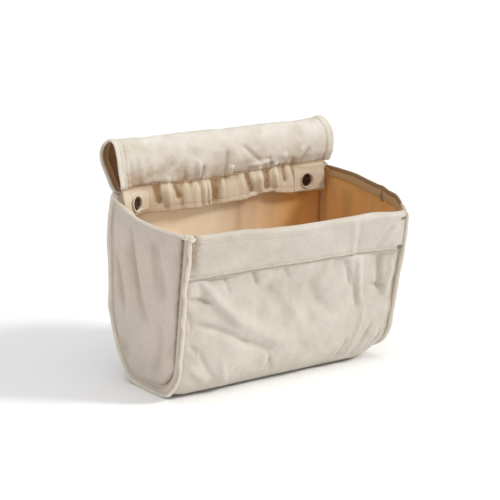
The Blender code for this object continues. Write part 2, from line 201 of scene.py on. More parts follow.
def catmull(points, per_span):
    """A smooth curve through the points."""
    p = np.asarray(points, float)
    p = np.vstack([2 * p[0] - p[1], p, 2 * p[-1] - p[-2]])
    t = np.arange(per_span)[:, None] / per_span
    out = []
    for i in range(1, len(p) - 2):
        a, b, c, d = p[i - 1:i + 3]
        out.append(0.5 * (2 * b + (c - a) * t + (2 * a - 5 * b + 4 * c - d) * t**2
                          + (3 * b - a - 3 * c + d) * t**3))
    return np.vstack([*out, p[-2]])


class Path:
    """A curve in Y-Z by arc length, with its normal on the left of its direction."""

    def __init__(self, points, smoothing):
        self.points = np.asarray(points, float)
        self.s = lengths(self.points)
        self.length = self.s[-1]
        along = np.gradient(self.points, self.s, axis=0)
        kernel = np.ones(smoothing) / smoothing
        padded = np.pad(along, ((smoothing // 2,) * 2, (0, 0)), mode="edge")
        along = np.stack([np.convolve(padded[:, k], kernel, "valid") for k in (0, 1)], 1)
        along /= np.linalg.norm(along, axis=1, keepdims=True)
        self.normals = np.stack([-along[:, 1], along[:, 0]], 1)

    def at(self, s, depth=0.0):
        s = np.asarray(s, float)
        inside = np.clip(s, 0, self.length)
        y = np.interp(inside, self.s, self.points[:, 0])
        z = np.interp(inside, self.s, self.points[:, 1])
        ny = np.interp(inside, self.s, self.normals[:, 0])
        nz = np.interp(inside, self.s, self.normals[:, 1])
        over = s - inside
        y, z = y + nz * over, z - ny * over
        return y + ny * depth, z + nz * depth, ny, nz


def hull(points):
    """Convex hull, counter-clockwise."""
    points = sorted(set(map(tuple, np.round(points, 6))))

    def chain(sequence):
        out = []
        for p in sequence:
            while len(out) > 1:
                a, b = out[-2], out[-1]
                turn = (b[0] - a[0]) * (p[1] - a[1]) - (b[1] - a[1]) * (p[0] - a[0])
                if turn > 0:
                    break
                out.pop()
            out.append(p)
        return out[:-1]

    return chain(points) + chain(points[::-1])


def fin_path():
    """The fin's outer edge from the front rim under the bag to the back rim."""
    ring = hull(points_of(frame["nodes"]["left_seam_binding"].data)[:, 1:])
    first = min(range(len(ring)), key=lambda i: ring[i][0])
    ring = ring[first:] + ring[:first]
    last = max(range(len(ring)), key=lambda i: (round(ring[i][1], 4), ring[i][0]))
    ring = np.array(ring[: last + 1])
    s = lengths(ring)
    even = np.arange(0, s[-1], 0.5 * MM)
    ring = np.stack([np.interp(even, s, ring[:, k]) for k in (0, 1)], 1)
    reach = 10
    before = 2 * ring[0] - ring[reach:0:-1]
    after = 2 * ring[-1] - ring[-2:-reach - 2:-1]
    ring = np.vstack([before, ring, after])
    kernel = np.hanning(2 * reach + 3)[1:-1]
    kernel /= kernel.sum()
    ring = np.stack([np.convolve(ring[:, k], kernel, "valid") for k in (0, 1)], 1)
    return Path(ring, 15)


U = fin_path()
BOTTOM_S = float(U.s[np.argmin(U.points[:, 1] + np.abs(U.points[:, 0]) * 1e-3)])
FIN_BOTTOM_DEPTH = 3 * MM

# ------------------------------------------------------------------ meshes


def unit(v):
    return v / np.maximum(np.linalg.norm(v, axis=-1, keepdims=True), 1e-12)


def grid_normals(P):
    return unit(np.cross(np.gradient(P, axis=1), np.gradient(P, axis=0)))


def grid_quads(nv, nu):
    j, i = np.meshgrid(np.arange(nv - 1), np.arange(nu - 1), indexing="ij")
    a = j * nu + i
    return np.stack([a, a + 1, a + nu + 1, a + nu], -1).reshape(-1, 4)


def ring_quads(n, k, closed=False):
    """Faces between n rings of k points, and back to the first ring if they close."""
    j, i = np.meshgrid(np.arange(n if closed else n - 1), np.arange(k), indexing="ij")
    across, after = (i + 1) % k, (j + 1) % n
    faces = [j * k + i, j * k + across, after * k + across, after * k + i]
    return np.stack(faces, -1).reshape(-1, 4)


def link(name, data):
    obj = bpy.data.objects.new(name, data)
    bpy.context.scene.collection.objects.link(obj)
    return obj


def new_object(name, verts, faces, materials, uv=None, slots=None, shade=None):
    mesh = bpy.data.meshes.new(name)
    mesh.from_pydata(np.asarray(verts).tolist(), [], [list(map(int, f)) for f in faces])
    for m in materials:
        mesh.materials.append(m)
    loops = np.empty(len(mesh.loops), np.int32)
    mesh.loops.foreach_get("vertex_index", loops)
    if uv is not None:
        layer = mesh.uv_layers.new(name="cloth")
        layer.data.foreach_set("uv", np.asarray(uv, np.float32)[loops].ravel())
    if shade is None:
        shade = np.zeros(len(verts))
    # A vertex attribute of painted shade, with some stains, that the canvas materials mix in.
    attribute = mesh.attributes.new("shade_and_stain", "FLOAT", "POINT")
    attribute.data.foreach_set("value", np.asarray(shade, np.float32))
    if slots is not None:
        mesh.polygons.foreach_set("material_index", np.asarray(slots, np.int32))
    mesh.polygons.foreach_set("use_smooth", np.ones(len(mesh.polygons), bool))
    mesh.update()
    return link(name, mesh)


def shell(name, P, uv, thick, materials, keep=None, shade=None, inner_shade=None):
    """A closed sheet of cloth round a grid of points: an outer face, an inner face and rims."""
    nv, nu = P.shape[:2]
    N = grid_normals(P).reshape(-1, 3)
    quads = grid_quads(nv, nu)
    if keep is not None:
        quads = quads[keep(P, quads)]
    flat = P.reshape(-1, 3)
    uv = uv.reshape(-1, 2)
    count = len(flat)
    shade = np.zeros(count) if shade is None else shade.ravel()
    inner_shade = shade if inner_shade is None else inner_shade.ravel()
    edges = np.concatenate([quads[:, [k, (k + 1) % 4]] for k in range(4)])
    codes = edges[:, 0] * count + edges[:, 1]
    border = edges[~np.isin(codes, edges[:, 1] * count + edges[:, 0])]
    rim = np.unique(border)
    out = np.zeros((count, 3))
    direction = flat[border[:, 1]] - flat[border[:, 0]]
    side = unit(np.cross(direction, N[border[:, 0]]))
    for k in (0, 1):
        np.add.at(out, border[:, k], side)
    middle = flat[rim] + unit(out[rim]) * thick * 0.4
    verts = np.vstack([flat + N * thick / 2, flat - N * thick / 2, middle])
    place = np.full(count, -1)
    place[rim] = 2 * count + np.arange(len(rim))
    a, b = border[:, 0], border[:, 1]
    faces = [
        quads,
        quads[:, ::-1] + count,
        np.stack([b, a, place[a], place[b]], 1),
        np.stack([place[b], place[a], a + count, b + count], 1),
    ]
    inside = min(1, len(materials) - 1)
    slots = [np.full(len(f), inside if k == 1 else 0) for k, f in enumerate(faces)]
    obj = new_object(name, verts, np.vstack(faces), materials, np.vstack([uv, uv, uv[rim]]),
                     np.concatenate(slots), np.concatenate([shade, inner_shade, shade[rim]]))
    if keep is not None:
        edit_mesh(obj, drop_loose)
    return obj


def edit_mesh(obj, change):
    bm = bmesh.new()
    bm.from_mesh(obj.data)
    change(bm)
    bm.to_mesh(obj.data)
    bm.free()
    return obj


def drop_loose(bm):
    loose = [v for v in bm.verts if not v.link_faces]
    bmesh.ops.delete(bm, geom=loose, context="VERTS")


def face_outward(bm):
    bmesh.ops.recalc_face_normals(bm, faces=bm.faces)


def tube(name, rings, materials, shade=None):
    """A closed solid through rings of points (n, k, 3), with capped ends."""
    rings = np.asarray(rings, float)
    n, k = rings.shape[:2]
    faces = ring_quads(n, k).tolist()
    faces.append(list(range(k))[::-1])
    faces.append([(n - 1) * k + m for m in range(k)])
    around, along = lengths(rings[n // 2]), lengths(rings.mean(1))
    uv = np.stack(np.meshgrid(around, along), -1).reshape(-1, 2)
    obj = new_object(name, rings.reshape(-1, 3), faces, materials, uv, None, shade)
    return edit_mesh(obj, face_outward)


def profile_columns(profile, places):
    """The items of a profile, each as an array over the places along a tube."""
    return (np.stack([value + 0 * places for value in column], 1) for column in zip(*profile))


def paint_strips(obj, rings, materials):
    """Give each strip that runs along a tube its own material."""
    index = np.zeros(len(obj.data.polygons), np.int32)
    index[:(rings - 1) * len(materials)] = np.tile(materials, rings - 1)
    obj.data.polygons.foreach_set("material_index", index)


STITCH_SHARE = 0.78
STITCH_RING, STITCH_STEPS = 8, 6


def stitches(name, curve, normals, material, seed, pitch=STITCH, wide=0.85 * MM,
             high=0.42 * MM, lean=0.12):
    """A row of separate stitches that lie on the cloth along a curve."""
    rng = np.random.default_rng(seed)
    curve = np.asarray(curve, float)
    normals = np.broadcast_to(np.asarray(normals, float), curve.shape)
    s = lengths(curve)

    def sample(values, place):
        return np.stack([np.interp(place, s, values[:, k]) for k in range(3)], -1)

    count = int(s[-1] / pitch)
    shift, size, swing = rng.uniform((-0.05, 0.92, -lean), (0.05, 1.06, lean), (count, 3)).T
    half = pitch * STITCH_SHARE / 2 * size[:, None]
    t = np.linspace(-1, 1, STITCH_STEPS + 1)
    place = (np.arange(count) + 0.5 + shift)[:, None] * pitch + t * half
    place = np.clip(place, 0, s[-1])
    m = unit(sample(normals, place))
    ahead, behind = np.minimum(place + 1e-4, s[-1]), np.maximum(place - 1e-4, 0)
    side = np.cross(m, unit(sample(curve, ahead) - sample(curve, behind)))
    p = sample(curve, place) + side * (swing[:, None] * t * half)[..., None]
    fat = np.sqrt(np.maximum(1 - (np.abs(t) * 0.96) ** 4, 0.02))[:, None]
    sink = -0.35 * high * np.abs(t[:, None]) ** 3
    angle = 2 * math.pi * np.arange(STITCH_RING) / STITCH_RING
    across = np.cos(angle) * wide / 2 * fat
    up = np.sin(angle) * high * fat + sink + high * 0.25
    verts = p[:, :, None] + side[:, :, None] * across[..., None] + m[:, :, None] * up[..., None]
    uv = np.stack(np.broadcast_arrays(place[..., None], angle * 1e-4), -1)
    ring = np.arange(STITCH_RING)
    caps = ring[::-1], ring + STITCH_STEPS * STITCH_RING
    one = [*ring_quads(STITCH_STEPS + 1, STITCH_RING), *caps]
    faces = [face + n * len(t) * STITCH_RING for n in range(count) for face in one]
    row = new_object(name, verts.reshape(-1, 3), faces, [material], uv.reshape(-1, 2))
    return edit_mesh(row, face_outward)


def settle(obj):
    """How the bag stands in use: its far end leans out, and its far rim and corner draw up."""
    mesh = obj.data
    co = points_of(mesh)
    x, y, z = co.T / MM
    right = smooth01((x - 30) / 95)
    front = 1 - smooth01((y - 5) / 55)
    lean = right * (4.6 * smooth01((z - 25) / 95) * (0.25 + 0.75 * front))
    along = smooth01((y + 80) / 45) * (1 - smooth01((y - 12) / 50))
    lift = right * smooth01((z - 125) / 40) * 7.0 * along
    left = smooth01((-x - 30) / 95) * smooth01((y + 40) / 60)
    slump = left * 3.0 * smooth01((z - 15) / 60)
    along_top = np.interp(x, (-127, -112, -95, -62, -40, 0, 50, 90, 112, 127),
                          (1.5, 3.5, 4.6, 5.2, 7.6, 9.6, 9.2, 10.8, 10.6, 9.6))
    near_wall = 1 - smooth01((y + 68) / 22)
    sag = along_top * np.clip((z - 20) / 140, 0, 1.1) ** 2 * near_wall
    corner = 8.5 * smooth01((x - 94) / 36) * smooth01((46 - z) / 46) * smooth01((20 - y) / 40)
    co[:, 0] += (lean - slump) * MM
    co[:, 2] += (lift - sag + corner) * MM
    mesh.vertices.foreach_set("co", co.ravel())
    mesh.update()


def on_bag(obj, node=None):
    """Settle a piece, put it in its node's place and let it ride on the bag."""
    settle(obj)
    if node is not None:
        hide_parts(node)
    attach(obj, "bag")


# ------------------------------------------------------------------ cloth simulation


CLOTH_SCALE = 10.0  # the solver works better on a larger copy


def relax(P, pinned, grow, frames, bend):
    """Run Blender's cloth on a grid whose cloth is slightly larger than its pinned frame."""
    mesh = bpy.data.meshes.new("relax")
    big = P.reshape(-1, 3) * CLOTH_SCALE
    mesh.from_pydata(big.tolist(), [], grid_quads(*P.shape[:2]).tolist())
    obj = link("relax", mesh)
    obj.shape_key_add(name="Basis")
    rest = obj.shape_key_add(name="Rest")
    centre = P.reshape(-1, 3).mean(0) * CLOTH_SCALE
    grown = centre + (big - centre) * (1 + grow)
    rest.data.foreach_set("co", grown.astype(np.float32).ravel())
    rest.value = 0.0
    group = obj.vertex_groups.new(name="pin")
    weights = np.round(pinned.ravel(), 2)
    for level in np.unique(weights[weights > 0]):
        group.add(np.nonzero(weights == level)[0].tolist(), float(level), "REPLACE")
    modifier = obj.modifiers.new("Cloth", "CLOTH")
    cloth = modifier.settings
    cloth.rest_shape_key = rest
    cloth.vertex_group_mass = "pin"
    cloth.quality = 6
    cloth.mass = 0.3
    cloth.tension_stiffness = cloth.compression_stiffness = 40
    cloth.shear_stiffness = 15
    cloth.bending_stiffness = bend
    cloth.tension_damping = cloth.compression_damping = cloth.shear_damping = 10
    cloth.bending_damping = 1
    cloth.air_damping = 4
    cloth.effector_weights.gravity = 0.0
    modifier.collision_settings.use_collision = False
    modifier.point_cache.frame_start = 1
    modifier.point_cache.frame_end = frames
    for f in range(1, frames + 1):
        bpy.context.scene.frame_set(f)
    result = obj.evaluated_get(bpy.context.evaluated_depsgraph_get())
    out = points_of(result.data).reshape(P.shape) / CLOTH_SCALE
    bpy.context.scene.frame_set(1)
    bpy.data.objects.remove(obj)
    bpy.data.meshes.remove(mesh)
    return out


def relaxed_step(P, pinned, grow, frames, cap, bend):
    """How far the solver moves each point of a grid, up to a cap."""
    step = relax(P, pinned.astype(float), grow, frames, bend) - P
    size = np.linalg.norm(step, axis=2, keepdims=True)
    return step * np.minimum(1, cap / np.maximum(size, 1e-9))


def rest_in_place(P, pinned, grow, frames, cap):
    """Relax every second point of a fine grid and carry the small movement to the whole grid."""
    step = relaxed_step(P[::2, ::2], pinned[::2, ::2], grow, frames, cap, 2.0)

    def between(count, last):
        place = np.arange(count) / 2
        below = np.minimum(place.astype(int), last)
        return below, np.minimum(below + 1, last), place - below

    r0, r1, fr = between(P.shape[0], step.shape[0] - 1)
    c0, c1, fc = between(P.shape[1], step.shape[1] - 1)
    fr, fc = fr[:, None, None], fc[None, :, None]
    near = step[r0][:, c0] * (1 - fc) + step[r0][:, c1] * fc
    far = step[r1][:, c0] * (1 - fc) + step[r1][:, c1] * fc
    return P + near * (1 - fr) + far * fr


def refine(P, k):
    """A grid with k times as many cells, through cubic curves in both directions."""
    nv, nu, c = P.shape
    rows = catmull(P.reshape(nv, nu * c), k).reshape(-1, nu, c)
    turned = rows.transpose(1, 0, 2)
    cols = catmull(turned.reshape(nu, -1), k).reshape(-1, rows.shape[0], c)
    return cols.transpose(1, 0, 2)


def refine_values(values, k=3):
    return refine(values[..., None], k)[..., 0]


# ------------------------------------------------------------------ materials


class Build:
    """Short names for building a node material."""

    def __init__(self, name):
        self.material = bpy.data.materials.new(name)
        self.material.use_nodes = True
        self.tree = self.material.node_tree
        self.principled = self.tree.nodes["Principled BSDF"]

    def node(self, kind, **settings):
        node = self.tree.nodes.new(kind)
        for key, value in settings.items():
            setattr(node, key, value)
        return node

    def feed(self, socket, value):
        if isinstance(value, bpy.types.NodeSocket):
            self.tree.links.new(value, socket)
        elif socket.type == "RGBA":
            socket.default_value = (*value, 1.0)
        else:
            socket.default_value = value

    def math(self, operation, a, b=0.0, clamp=False):
        node = self.node("ShaderNodeMath", operation=operation, use_clamp=clamp)
        self.feed(node.inputs[0], a)
        self.feed(node.inputs[1], b)
        return node.outputs[0]

    def fed(self, kind, values, **settings):
        """A new node with its inputs filled by name."""
        node = self.node(kind, **settings)
        for key, value in values.items():
            self.feed(node.inputs[key], value)
        return node

    def add(self, a, b, clamp=False):
        return self.math("ADD", a, b, clamp)

    def times(self, a, b, clamp=False):
        return self.math("MULTIPLY", a, b, clamp)

    def centred(self, value):
        return self.math("SUBTRACT", value, 0.5)

    def noise(self, vector, scale, detail=2.0, stretch=None):
        if stretch is not None:
            vector = self.fed("ShaderNodeMapping", {"Vector": vector, "Scale": stretch}).outputs[0]
        values = {"Vector": vector, "Scale": scale, "Detail": detail, "Roughness": 0.55}
        return self.fed("ShaderNodeTexNoise", values).outputs["Fac"]

    def ramp(self, value, low, high, to_low=0.0, to_high=1.0):
        values = {"Value": value, "From Min": low, "From Max": high, "To Min": to_low,
                  "To Max": to_high}
        return self.fed("ShaderNodeMapRange", values).outputs[0]

    def mix(self, fac, a, b):
        node = self.fed("ShaderNodeMix", {"Factor": fac}, data_type="RGBA")
        for socket, value in zip([s for s in node.inputs if s.type == "RGBA"], (a, b)):
            self.feed(socket, value)
        return next(s for s in node.outputs if s.type == "RGBA")

    def split(self, vector):
        return self.fed("ShaderNodeSeparateXYZ", {0: vector}).outputs

    def surface(self, values, height=None, strength=1.0, distance=0.0):
        """Fill the shader's inputs, and give it a bump where there is a height."""
        for key, value in values.items():
            self.feed(self.principled.inputs[key], value)
        if height is not None:
            values = {"Strength": strength, "Distance": distance, "Height": height}
            bump = self.fed("ShaderNodeBump", values)
            self.feed(self.principled.inputs["Normal"], bump.outputs[0])
        return self.material

    def cloth_uv(self):
        return self.node("ShaderNodeUVMap", uv_map="cloth").outputs[0]

    def shade_and_stain(self):
        return self.node("ShaderNodeAttribute", attribute_name="shade_and_stain").outputs["Fac"]


WEAVE_PITCH = 0.95 * MM


def canvas(name, light, dark, shade_and_stain_colour, fuzz=0.25, far=None, painted_glow=None, stain=None):
    """Plain-weave cotton duck: warp over weft, slubs, seed flecks, mottling, and painted shade in
    creases and hollows (with some stains) from a vertex attribute.

    far is painted shade: the warmer, darker colour the cloth turns to at the bag's far side, which
    the far end panel shades. The glow is painted light: two emission colours, near and far, for
    light coming through the cloth and bounced round the inside."""
    b = Build(name)
    uv = b.cloth_uv()
    wobble = b.noise(uv, 260.0, 1.0)
    x, y, _ = b.split(uv)
    drift = b.times(b.centred(wobble), 0.5 * MM)
    turn = 2 * math.pi / WEAVE_PITCH
    warp = b.math("SINE", b.times(b.add(x, drift), turn))
    weft = b.math("SINE", b.times(b.add(y, drift), turn * 0.8))
    over = b.times(warp, weft)
    across = b.noise(uv, 1.0, 2.0, (90.0, 1100.0, 1.0))
    down = b.noise(uv, 1.0, 2.0, (1100.0, 90.0, 1.0))
    slub = b.add(b.centred(across), b.centred(down))
    blotch = b.noise(uv, 30.0, 3.0)
    speckle = b.noise(uv, 170.0, 3.0)
    tone = b.add(b.times(b.centred(blotch), 1.5), 0.55)
    tone = b.add(tone, b.times(b.centred(speckle), 0.45))
    tone = b.add(tone, b.times(slub, 0.55))
    tone = b.add(tone, b.times(over, 0.10), clamp=True)
    colour = b.mix(tone, dark, light)
    if stain is not None:
        patches = b.ramp(b.noise(uv, 42.0, 2.0), 0.50, 0.66)
        colour = b.mix(b.times(patches, 0.55, clamp=True), colour, stain)
    # Painted shade: towards the far end the colour turns warmer and darker, where the far end
    # panel shades the inside.
    if far is not None:
        place = b.node("ShaderNodeNewGeometry").outputs["Position"]
        farness = b.ramp(b.split(place)[0], -0.015, 0.085)
        colour = b.mix(farness, colour, far)
    fleck = b.ramp(b.noise(uv, 520.0, 0.0), 0.79, 0.83)
    colour = b.mix(b.times(fleck, 0.25, clamp=True), colour, (0.36, 0.26, 0.16))
    # Painted shade, with some stains: the vertex attribute darkens the colour towards its shade
    # colour, more where the speckle is high.
    shade_and_stain_share = b.times(b.shade_and_stain(), b.ramp(speckle, 0.3, 0.7, 0.75, 1.15), clamp=True)
    colour = b.mix(shade_and_stain_share, colour, shade_and_stain_colour)
    # Painted light: an emission that stands in for light through the cloth and bounced inside,
    # turned off where painted shade lies.
    if painted_glow is not None:
        painted_glow_colour = b.mix(farness, painted_glow[0], painted_glow[1])
        painted_glow_colour = b.mix(shade_and_stain_share, painted_glow_colour, (0.0, 0.0, 0.0))
        b.surface({"Emission Color": painted_glow_colour, "Emission Strength": 1.0})
    rough = b.ramp(b.add(speckle, b.times(over, 0.1)), 0.2, 0.8, 0.82, 0.97)
    relief = b.times(over, 0.05)
    relief = b.add(relief, b.times(slub, 0.16))
    relief = b.add(relief, b.times(b.noise(uv, 110.0, 4.0), 0.55))
    return b.surface({
        "Base Color": colour, "Roughness": rough, "Specular IOR Level": 0.25,
        "Sheen Weight": fuzz, "Sheen Roughness": 0.55, "Sheen Tint": (1.0, 0.95, 0.86),
    }, relief, 0.9, 1.0 * MM)


def thread_material(name, light, dark):
    """Twisted thread: fine diagonal plies and a little fuzz."""
    b = Build(name)
    uv = b.cloth_uv()
    x, y, _ = b.split(uv)
    ply = b.math("SINE", b.add(b.times(x, 5200.0), b.times(y, 9000.0)))
    tone = b.add(b.times(ply, 0.25), b.noise(uv, 400.0, 2.0), clamp=True)
    return b.surface({
        "Base Color": b.mix(tone, dark, light),
        "Roughness": b.ramp(tone, 0.0, 1.0, 0.9, 0.7), "Sheen Weight": 0.15,
    }, ply, 0.6, 0.15 * MM)


CANVAS = canvas("canvas_outside", (0.64, 0.595, 0.52), (0.515, 0.465, 0.39), (0.30, 0.23, 0.155),
                stain=(0.54, 0.495, 0.415))
# Painted light: a lighter copy of the canvas for the loop, whose top faces the light.
LIT_TOP = canvas("canvas_top_painted_light", (0.735, 0.70, 0.635), (0.60, 0.54, 0.455), (0.40, 0.275, 0.165),
             stain=(0.56, 0.495, 0.385))
# Painted light: a warmer copy of the canvas for light bounced round the inside, with painted shade
# towards the far end and a painted glow.
INSIDE_PAINTED_LIGHT = canvas("canvas_inside_painted_light", (0.78, 0.66, 0.51), (0.66, 0.54, 0.395), (0.09, 0.045, 0.018),
                far=(0.63, 0.355, 0.125), painted_glow=((0.15, 0.125, 0.09), (0.04, 0.01, 0.0)))
# Painted light: a warmer copy of the canvas for the inner legs of the rim hems, with painted shade
# towards the far end and a painted glow.
RIM_INSIDE_PAINTED_LIGHT = canvas("canvas_rim_inside_painted_light", (0.80, 0.64, 0.46), (0.68, 0.52, 0.35),
                    (0.24, 0.14, 0.06), far=(0.47, 0.30, 0.15),
                    painted_glow=((0.10, 0.08, 0.05), (0.02, 0.01, 0.0)))
# Painted shade: a dark brown copy of the canvas for the shaded inner faces of the loop, the lip
# and the tabs.
SHADED_CANVAS = canvas("canvas_painted_shade", (0.44, 0.245, 0.115), (0.31, 0.17, 0.075), (0.14, 0.07, 0.03), fuzz=0.0)
# Painted light: a warmer copy of the canvas for the end panels and fin faces, for the warm bounced
# light in their shade.
END_PAINTED_BOUNCE = canvas("canvas_end_painted_bounce", (0.66, 0.58, 0.49), (0.54, 0.465, 0.385), (0.20, 0.145, 0.095))
# Painted highlight: a lighter copy of the canvas for the rounded cords, hems and the knot, which
# catch the light.
EDGE_HIGHLIGHT = canvas("canvas_edge_painted_highlight", (0.76, 0.695, 0.60), (0.64, 0.57, 0.475), (0.28, 0.21, 0.14),
              fuzz=0.35)
LIP = canvas("canvas_lip", (0.73, 0.63, 0.49), (0.61, 0.50, 0.365), (0.28, 0.165, 0.075))
THREAD = thread_material("cotton_thread", (0.80, 0.73, 0.62), (0.56, 0.48, 0.37))
SOFT_THREAD = thread_material("sunk_thread", (0.68, 0.61, 0.51), (0.50, 0.43, 0.34))
SEAM_THREAD = thread_material("seam_thread", (0.72, 0.64, 0.53), (0.60, 0.51, 0.40))
# Painted shade: thread dark enough to sink into the painted shade of the seam grooves and the rim
# hems.
SHADED_THREAD = thread_material("thread_in_painted_shade", (0.56, 0.42, 0.28), (0.38, 0.26, 0.15))
EYELET = thread_material("eyelet_thread", (0.84, 0.75, 0.62), (0.60, 0.50, 0.37))
# The far eyelet's thread is darker.
DARKER_EYELET = thread_material("darker_eyelet_thread", (0.66, 0.55, 0.42), (0.42, 0.33, 0.22))
TACK_THREAD = thread_material("tack_thread", (0.46, 0.34, 0.22), (0.20, 0.13, 0.075))
DARK_THREAD = thread_material("waxed_thread", (0.34, 0.28, 0.21), (0.12, 0.095, 0.07))

# ------------------------------------------------------------------ the main sheet


def root_depth(s):
    """How deep the sheet lies behind the fin's edge at the fin."""
    wall = rise(U.at(s)[1], 0, 34)
    return FIN_BOTTOM_DEPTH + (FIN_DEPTH - FIN_BOTTOM_DEPTH) * wall


def sheet_depth(x, s):
    """The same anywhere on the sheet: it sags to the floor and bellies a little between fins."""
    middle = smooth01((FIN_IN - np.abs(x)) / (16 * MM))
    wall = rise(U.at(s)[1], 0, 34)
    depth = root_depth(s) * (1 - middle) + middle * (FIN_DEPTH * wall + 0.4 * MM * (1 - wall))
    return depth - far_swell(x, s)


def far_swell(x, s):
    """The far front edge is full, so its fin hardly stands proud."""
    front = smooth01((BOTTOM_S - 30 * MM - s) / (40 * MM))
    return 3.2 * MM * rise(x, 84, 34) * front


# Folds of the front wall (x, z): start, end, width, height and bow, in millimetres
FRONT_FOLDS = (
    ((-104, 117), (-66, 76), 5.5, 2.1, 2),
    ((-68, 78), (-8, 44), 8.0, 1.6, 3),
    ((-104, 74), (-52, 49), 4.0, -1.5, -2),
    ((-54, 50), (-22, 36), 4.0, -1.2),
    ((-117, 100), (-94, 95), 3.0, -1.5),
    ((-118, 88), (-112, 70), 3.0, -0.8),
    ((-112, 54), (-104, 47), 3.0, -0.9),
    ((-80, 116), (-73, 101), 2.4, -0.9),
    ((-48, 119), (-43, 105), 2.6, -1.2),
    ((-12, 118), (-6, 106), 3.0, -0.7),
    ((60, 112), (66, 88), 3.4, -1.3),
    ((72, 88), (80, 62), 3.6, -1.0),
    ((74, 115), (82, 72), 3.4, 1.5, 2),
    ((98, 112), (104, 76), 4.2, -1.9, 1),
    ((92, 84), (108, 80), 3.0, -1.0),
    ((113, 106), (112, 74), 3.4, 1.2),
    ((74, 16), (88, 58), 3.0, 1.3, 2),
    ((82, 14), (99, 38), 2.8, -1.5, 2),
    ((64, 14), (71, 30), 2.6, -0.9),
    ((90, 12), (108, 34), 2.6, 1.2, 2),
    ((100, 12), (114, 28), 2.4, -1.3, 1),
    ((-23, 33), (-16, 16), 2.6, -1.0),
    ((-14, 34), (-24, 18), 2.2, -0.7),
    ((-108, 30), (-92, 18), 4.0, 1.0),
    ((-100, 44), (-86, 22), 3.4, -0.8, 2),
    ((-78, 36), (-70, 14), 4.0, 0.8),
    ((20, 96), (52, 60), 8.0, -1.2, 3),
    ((-30, 98), (-6, 62), 9.0, -1.3, -3),
    ((4, 70), (40, 24), 8.0, 1.0, 2),
)


def front_wrinkles(x, s, z):
    """How far the front wall stands out, with puckers at the band, the fins and the floor."""
    below = s - BAND_DROP
    front = fall(s, 210, 50)
    tight = 0.75 + 0.75 * rise(x, 20, 60)
    out = 3.0 * gathers(x + 0.25 * below, np.maximum(below, 0), 8, 11, 11) * tight
    for sign, seed in ((-1, 21), (1, 23)):
        away = np.maximum(FIN_IN - sign * x, 0)
        out = out + 1.9 * gathers(s - 0.35 * away, away, 13, 9, seed)
    out = add_folds(out, FRONT_FOLDS, x, z, 1.9, 0.85)
    out = out + 2.5 * crumple(x, s, 60, 31, 2) + 0.85 * crumple(x, s, 17, 35, 3)
    return out * rise(below, 0, 5) * front * rise(z, 2, 22) * MM


def back_wrinkles(x, s):
    """The same for the back wall, with puckers under the stitch row and at the fins."""
    back = smooth01((s - (U.length - 200 * MM)) / (50 * MM))
    near_top = np.maximum(U.length - s, 0)
    out = 1.3 * gathers(x, near_top, 14, 16, 41)
    for sign, seed in ((-1, 43), (1, 47)):
        away = np.maximum(FIN_IN - sign * x, 0)
        out = out + 1.2 * gathers(s + 0.3 * away, away, 14, 10, seed)
    out = out + 2.6 * crumple(x, s, 75, 51, 2) + 0.6 * crumple(x, s, 18, 53, 2)
    return out * back * rise(near_top, 0, 8) * MM


def floor_limit(P, gap=0.3 * MM, soft=1 * MM):
    """Keep the points a gap above the floor, and ease those just over it."""
    z = P[..., 2]
    P[..., 2] = np.where(z < gap + soft, gap + soft * np.exp((z - gap - soft) / soft), z)
    return P


SHEET_TOP = U.length + 3.0 * MM


def sheet_point(x, s, out):
    y, z = U.at(s, sheet_depth(x, s) - out)[:2]
    return np.stack([x, y, z], -1)


def make_sheet():
    nu, nv = 92, 150
    x = np.linspace(-FIN_IN, FIN_IN, nu)
    s = np.linspace(1.5 * MM, SHEET_TOP, nv)
    X, S = np.meshgrid(x, s)
    _, z, _, _ = U.at(S, FIN_DEPTH)
    out = front_wrinkles(X, S, z) + back_wrinkles(X, S)
    P = sheet_point(X, S, out)
    pinned = np.zeros((nv, nu))
    pinned[:, 0] = pinned[:, -1] = 1
    pinned[S <= BAND_DROP + 1 * MM] = 1
    pinned[S >= U.length - 2 * MM] = 1
    floor = (S > BOTTOM_S - 20 * MM) & (S < BOTTOM_S + 22 * MM)
    pinned[floor] = np.maximum(pinned[floor], 0.6)
    P = P + relaxed_step(P, pinned, 0.012, 18, 4 * MM, 1.0)
    fine = refine(P, 3)
    fine_s = refine_values(S)
    fine_x = refine_values(X)
    # Painted shade where the sheet meets the fins and under the band's lower edge.
    shade_and_stain = 0.5 * hump(np.abs(fine_x) - FIN_IN, 0, 3)
    shade_and_stain = shade_and_stain + 0.25 * hump(fine_s - BAND_DROP, 0.5, 1.5)
    upper_back = rise(fine[..., 1], 30, 10)
    relief = refine_values(out)
    # Outer face: painted shade also in the hollows of the front wall's relief below the band.
    outside = shade_and_stain + 0.2 * fall(relief, 0, 3) * rise(fine_s - BAND_DROP, 0, 9)
    # Inner face: painted shadow on the back wall where it is seen through the pin holes.
    for side, pin in PINS.items():
        shift = (3 if side > 0 else 9) * MM
        away = np.hypot(fine_x - pin.x - shift, fine[..., 2] - pin.z + shift / 3)
        shade_and_stain = shade_and_stain + 1.2 * hump(away, 0, 11) * upper_back
    # Painted shade: a soft dark streak across the middle of the inner back wall.
    streak = 0.22 * (1 + 0.9 * wander(fine_x, 9, 57)) * hump(fine_x, 26, 36)
    shade_and_stain = np.minimum(shade_and_stain + streak * upper_back, 1.0)
    uv = np.stack([fine_x, fine_s], -1)
    fine = floor_limit(fine)
    sheet = shell("body_canvas", fine[:, ::-1], uv[:, ::-1], CLOTH, [CANVAS, INSIDE_PAINTED_LIGHT],
                  shade=outside[:, ::-1], inner_shade=shade_and_stain[:, ::-1])
    on_bag(sheet, "body_sheet")
    return fine[:, ::-1], fine_x[:, ::-1], fine_s[:, ::-1]


# ------------------------------------------------------------------ ends


RIM_SPAN = (RIM_FRONT + 6 * MM, U.points[-1, 0] - 4 * MM)


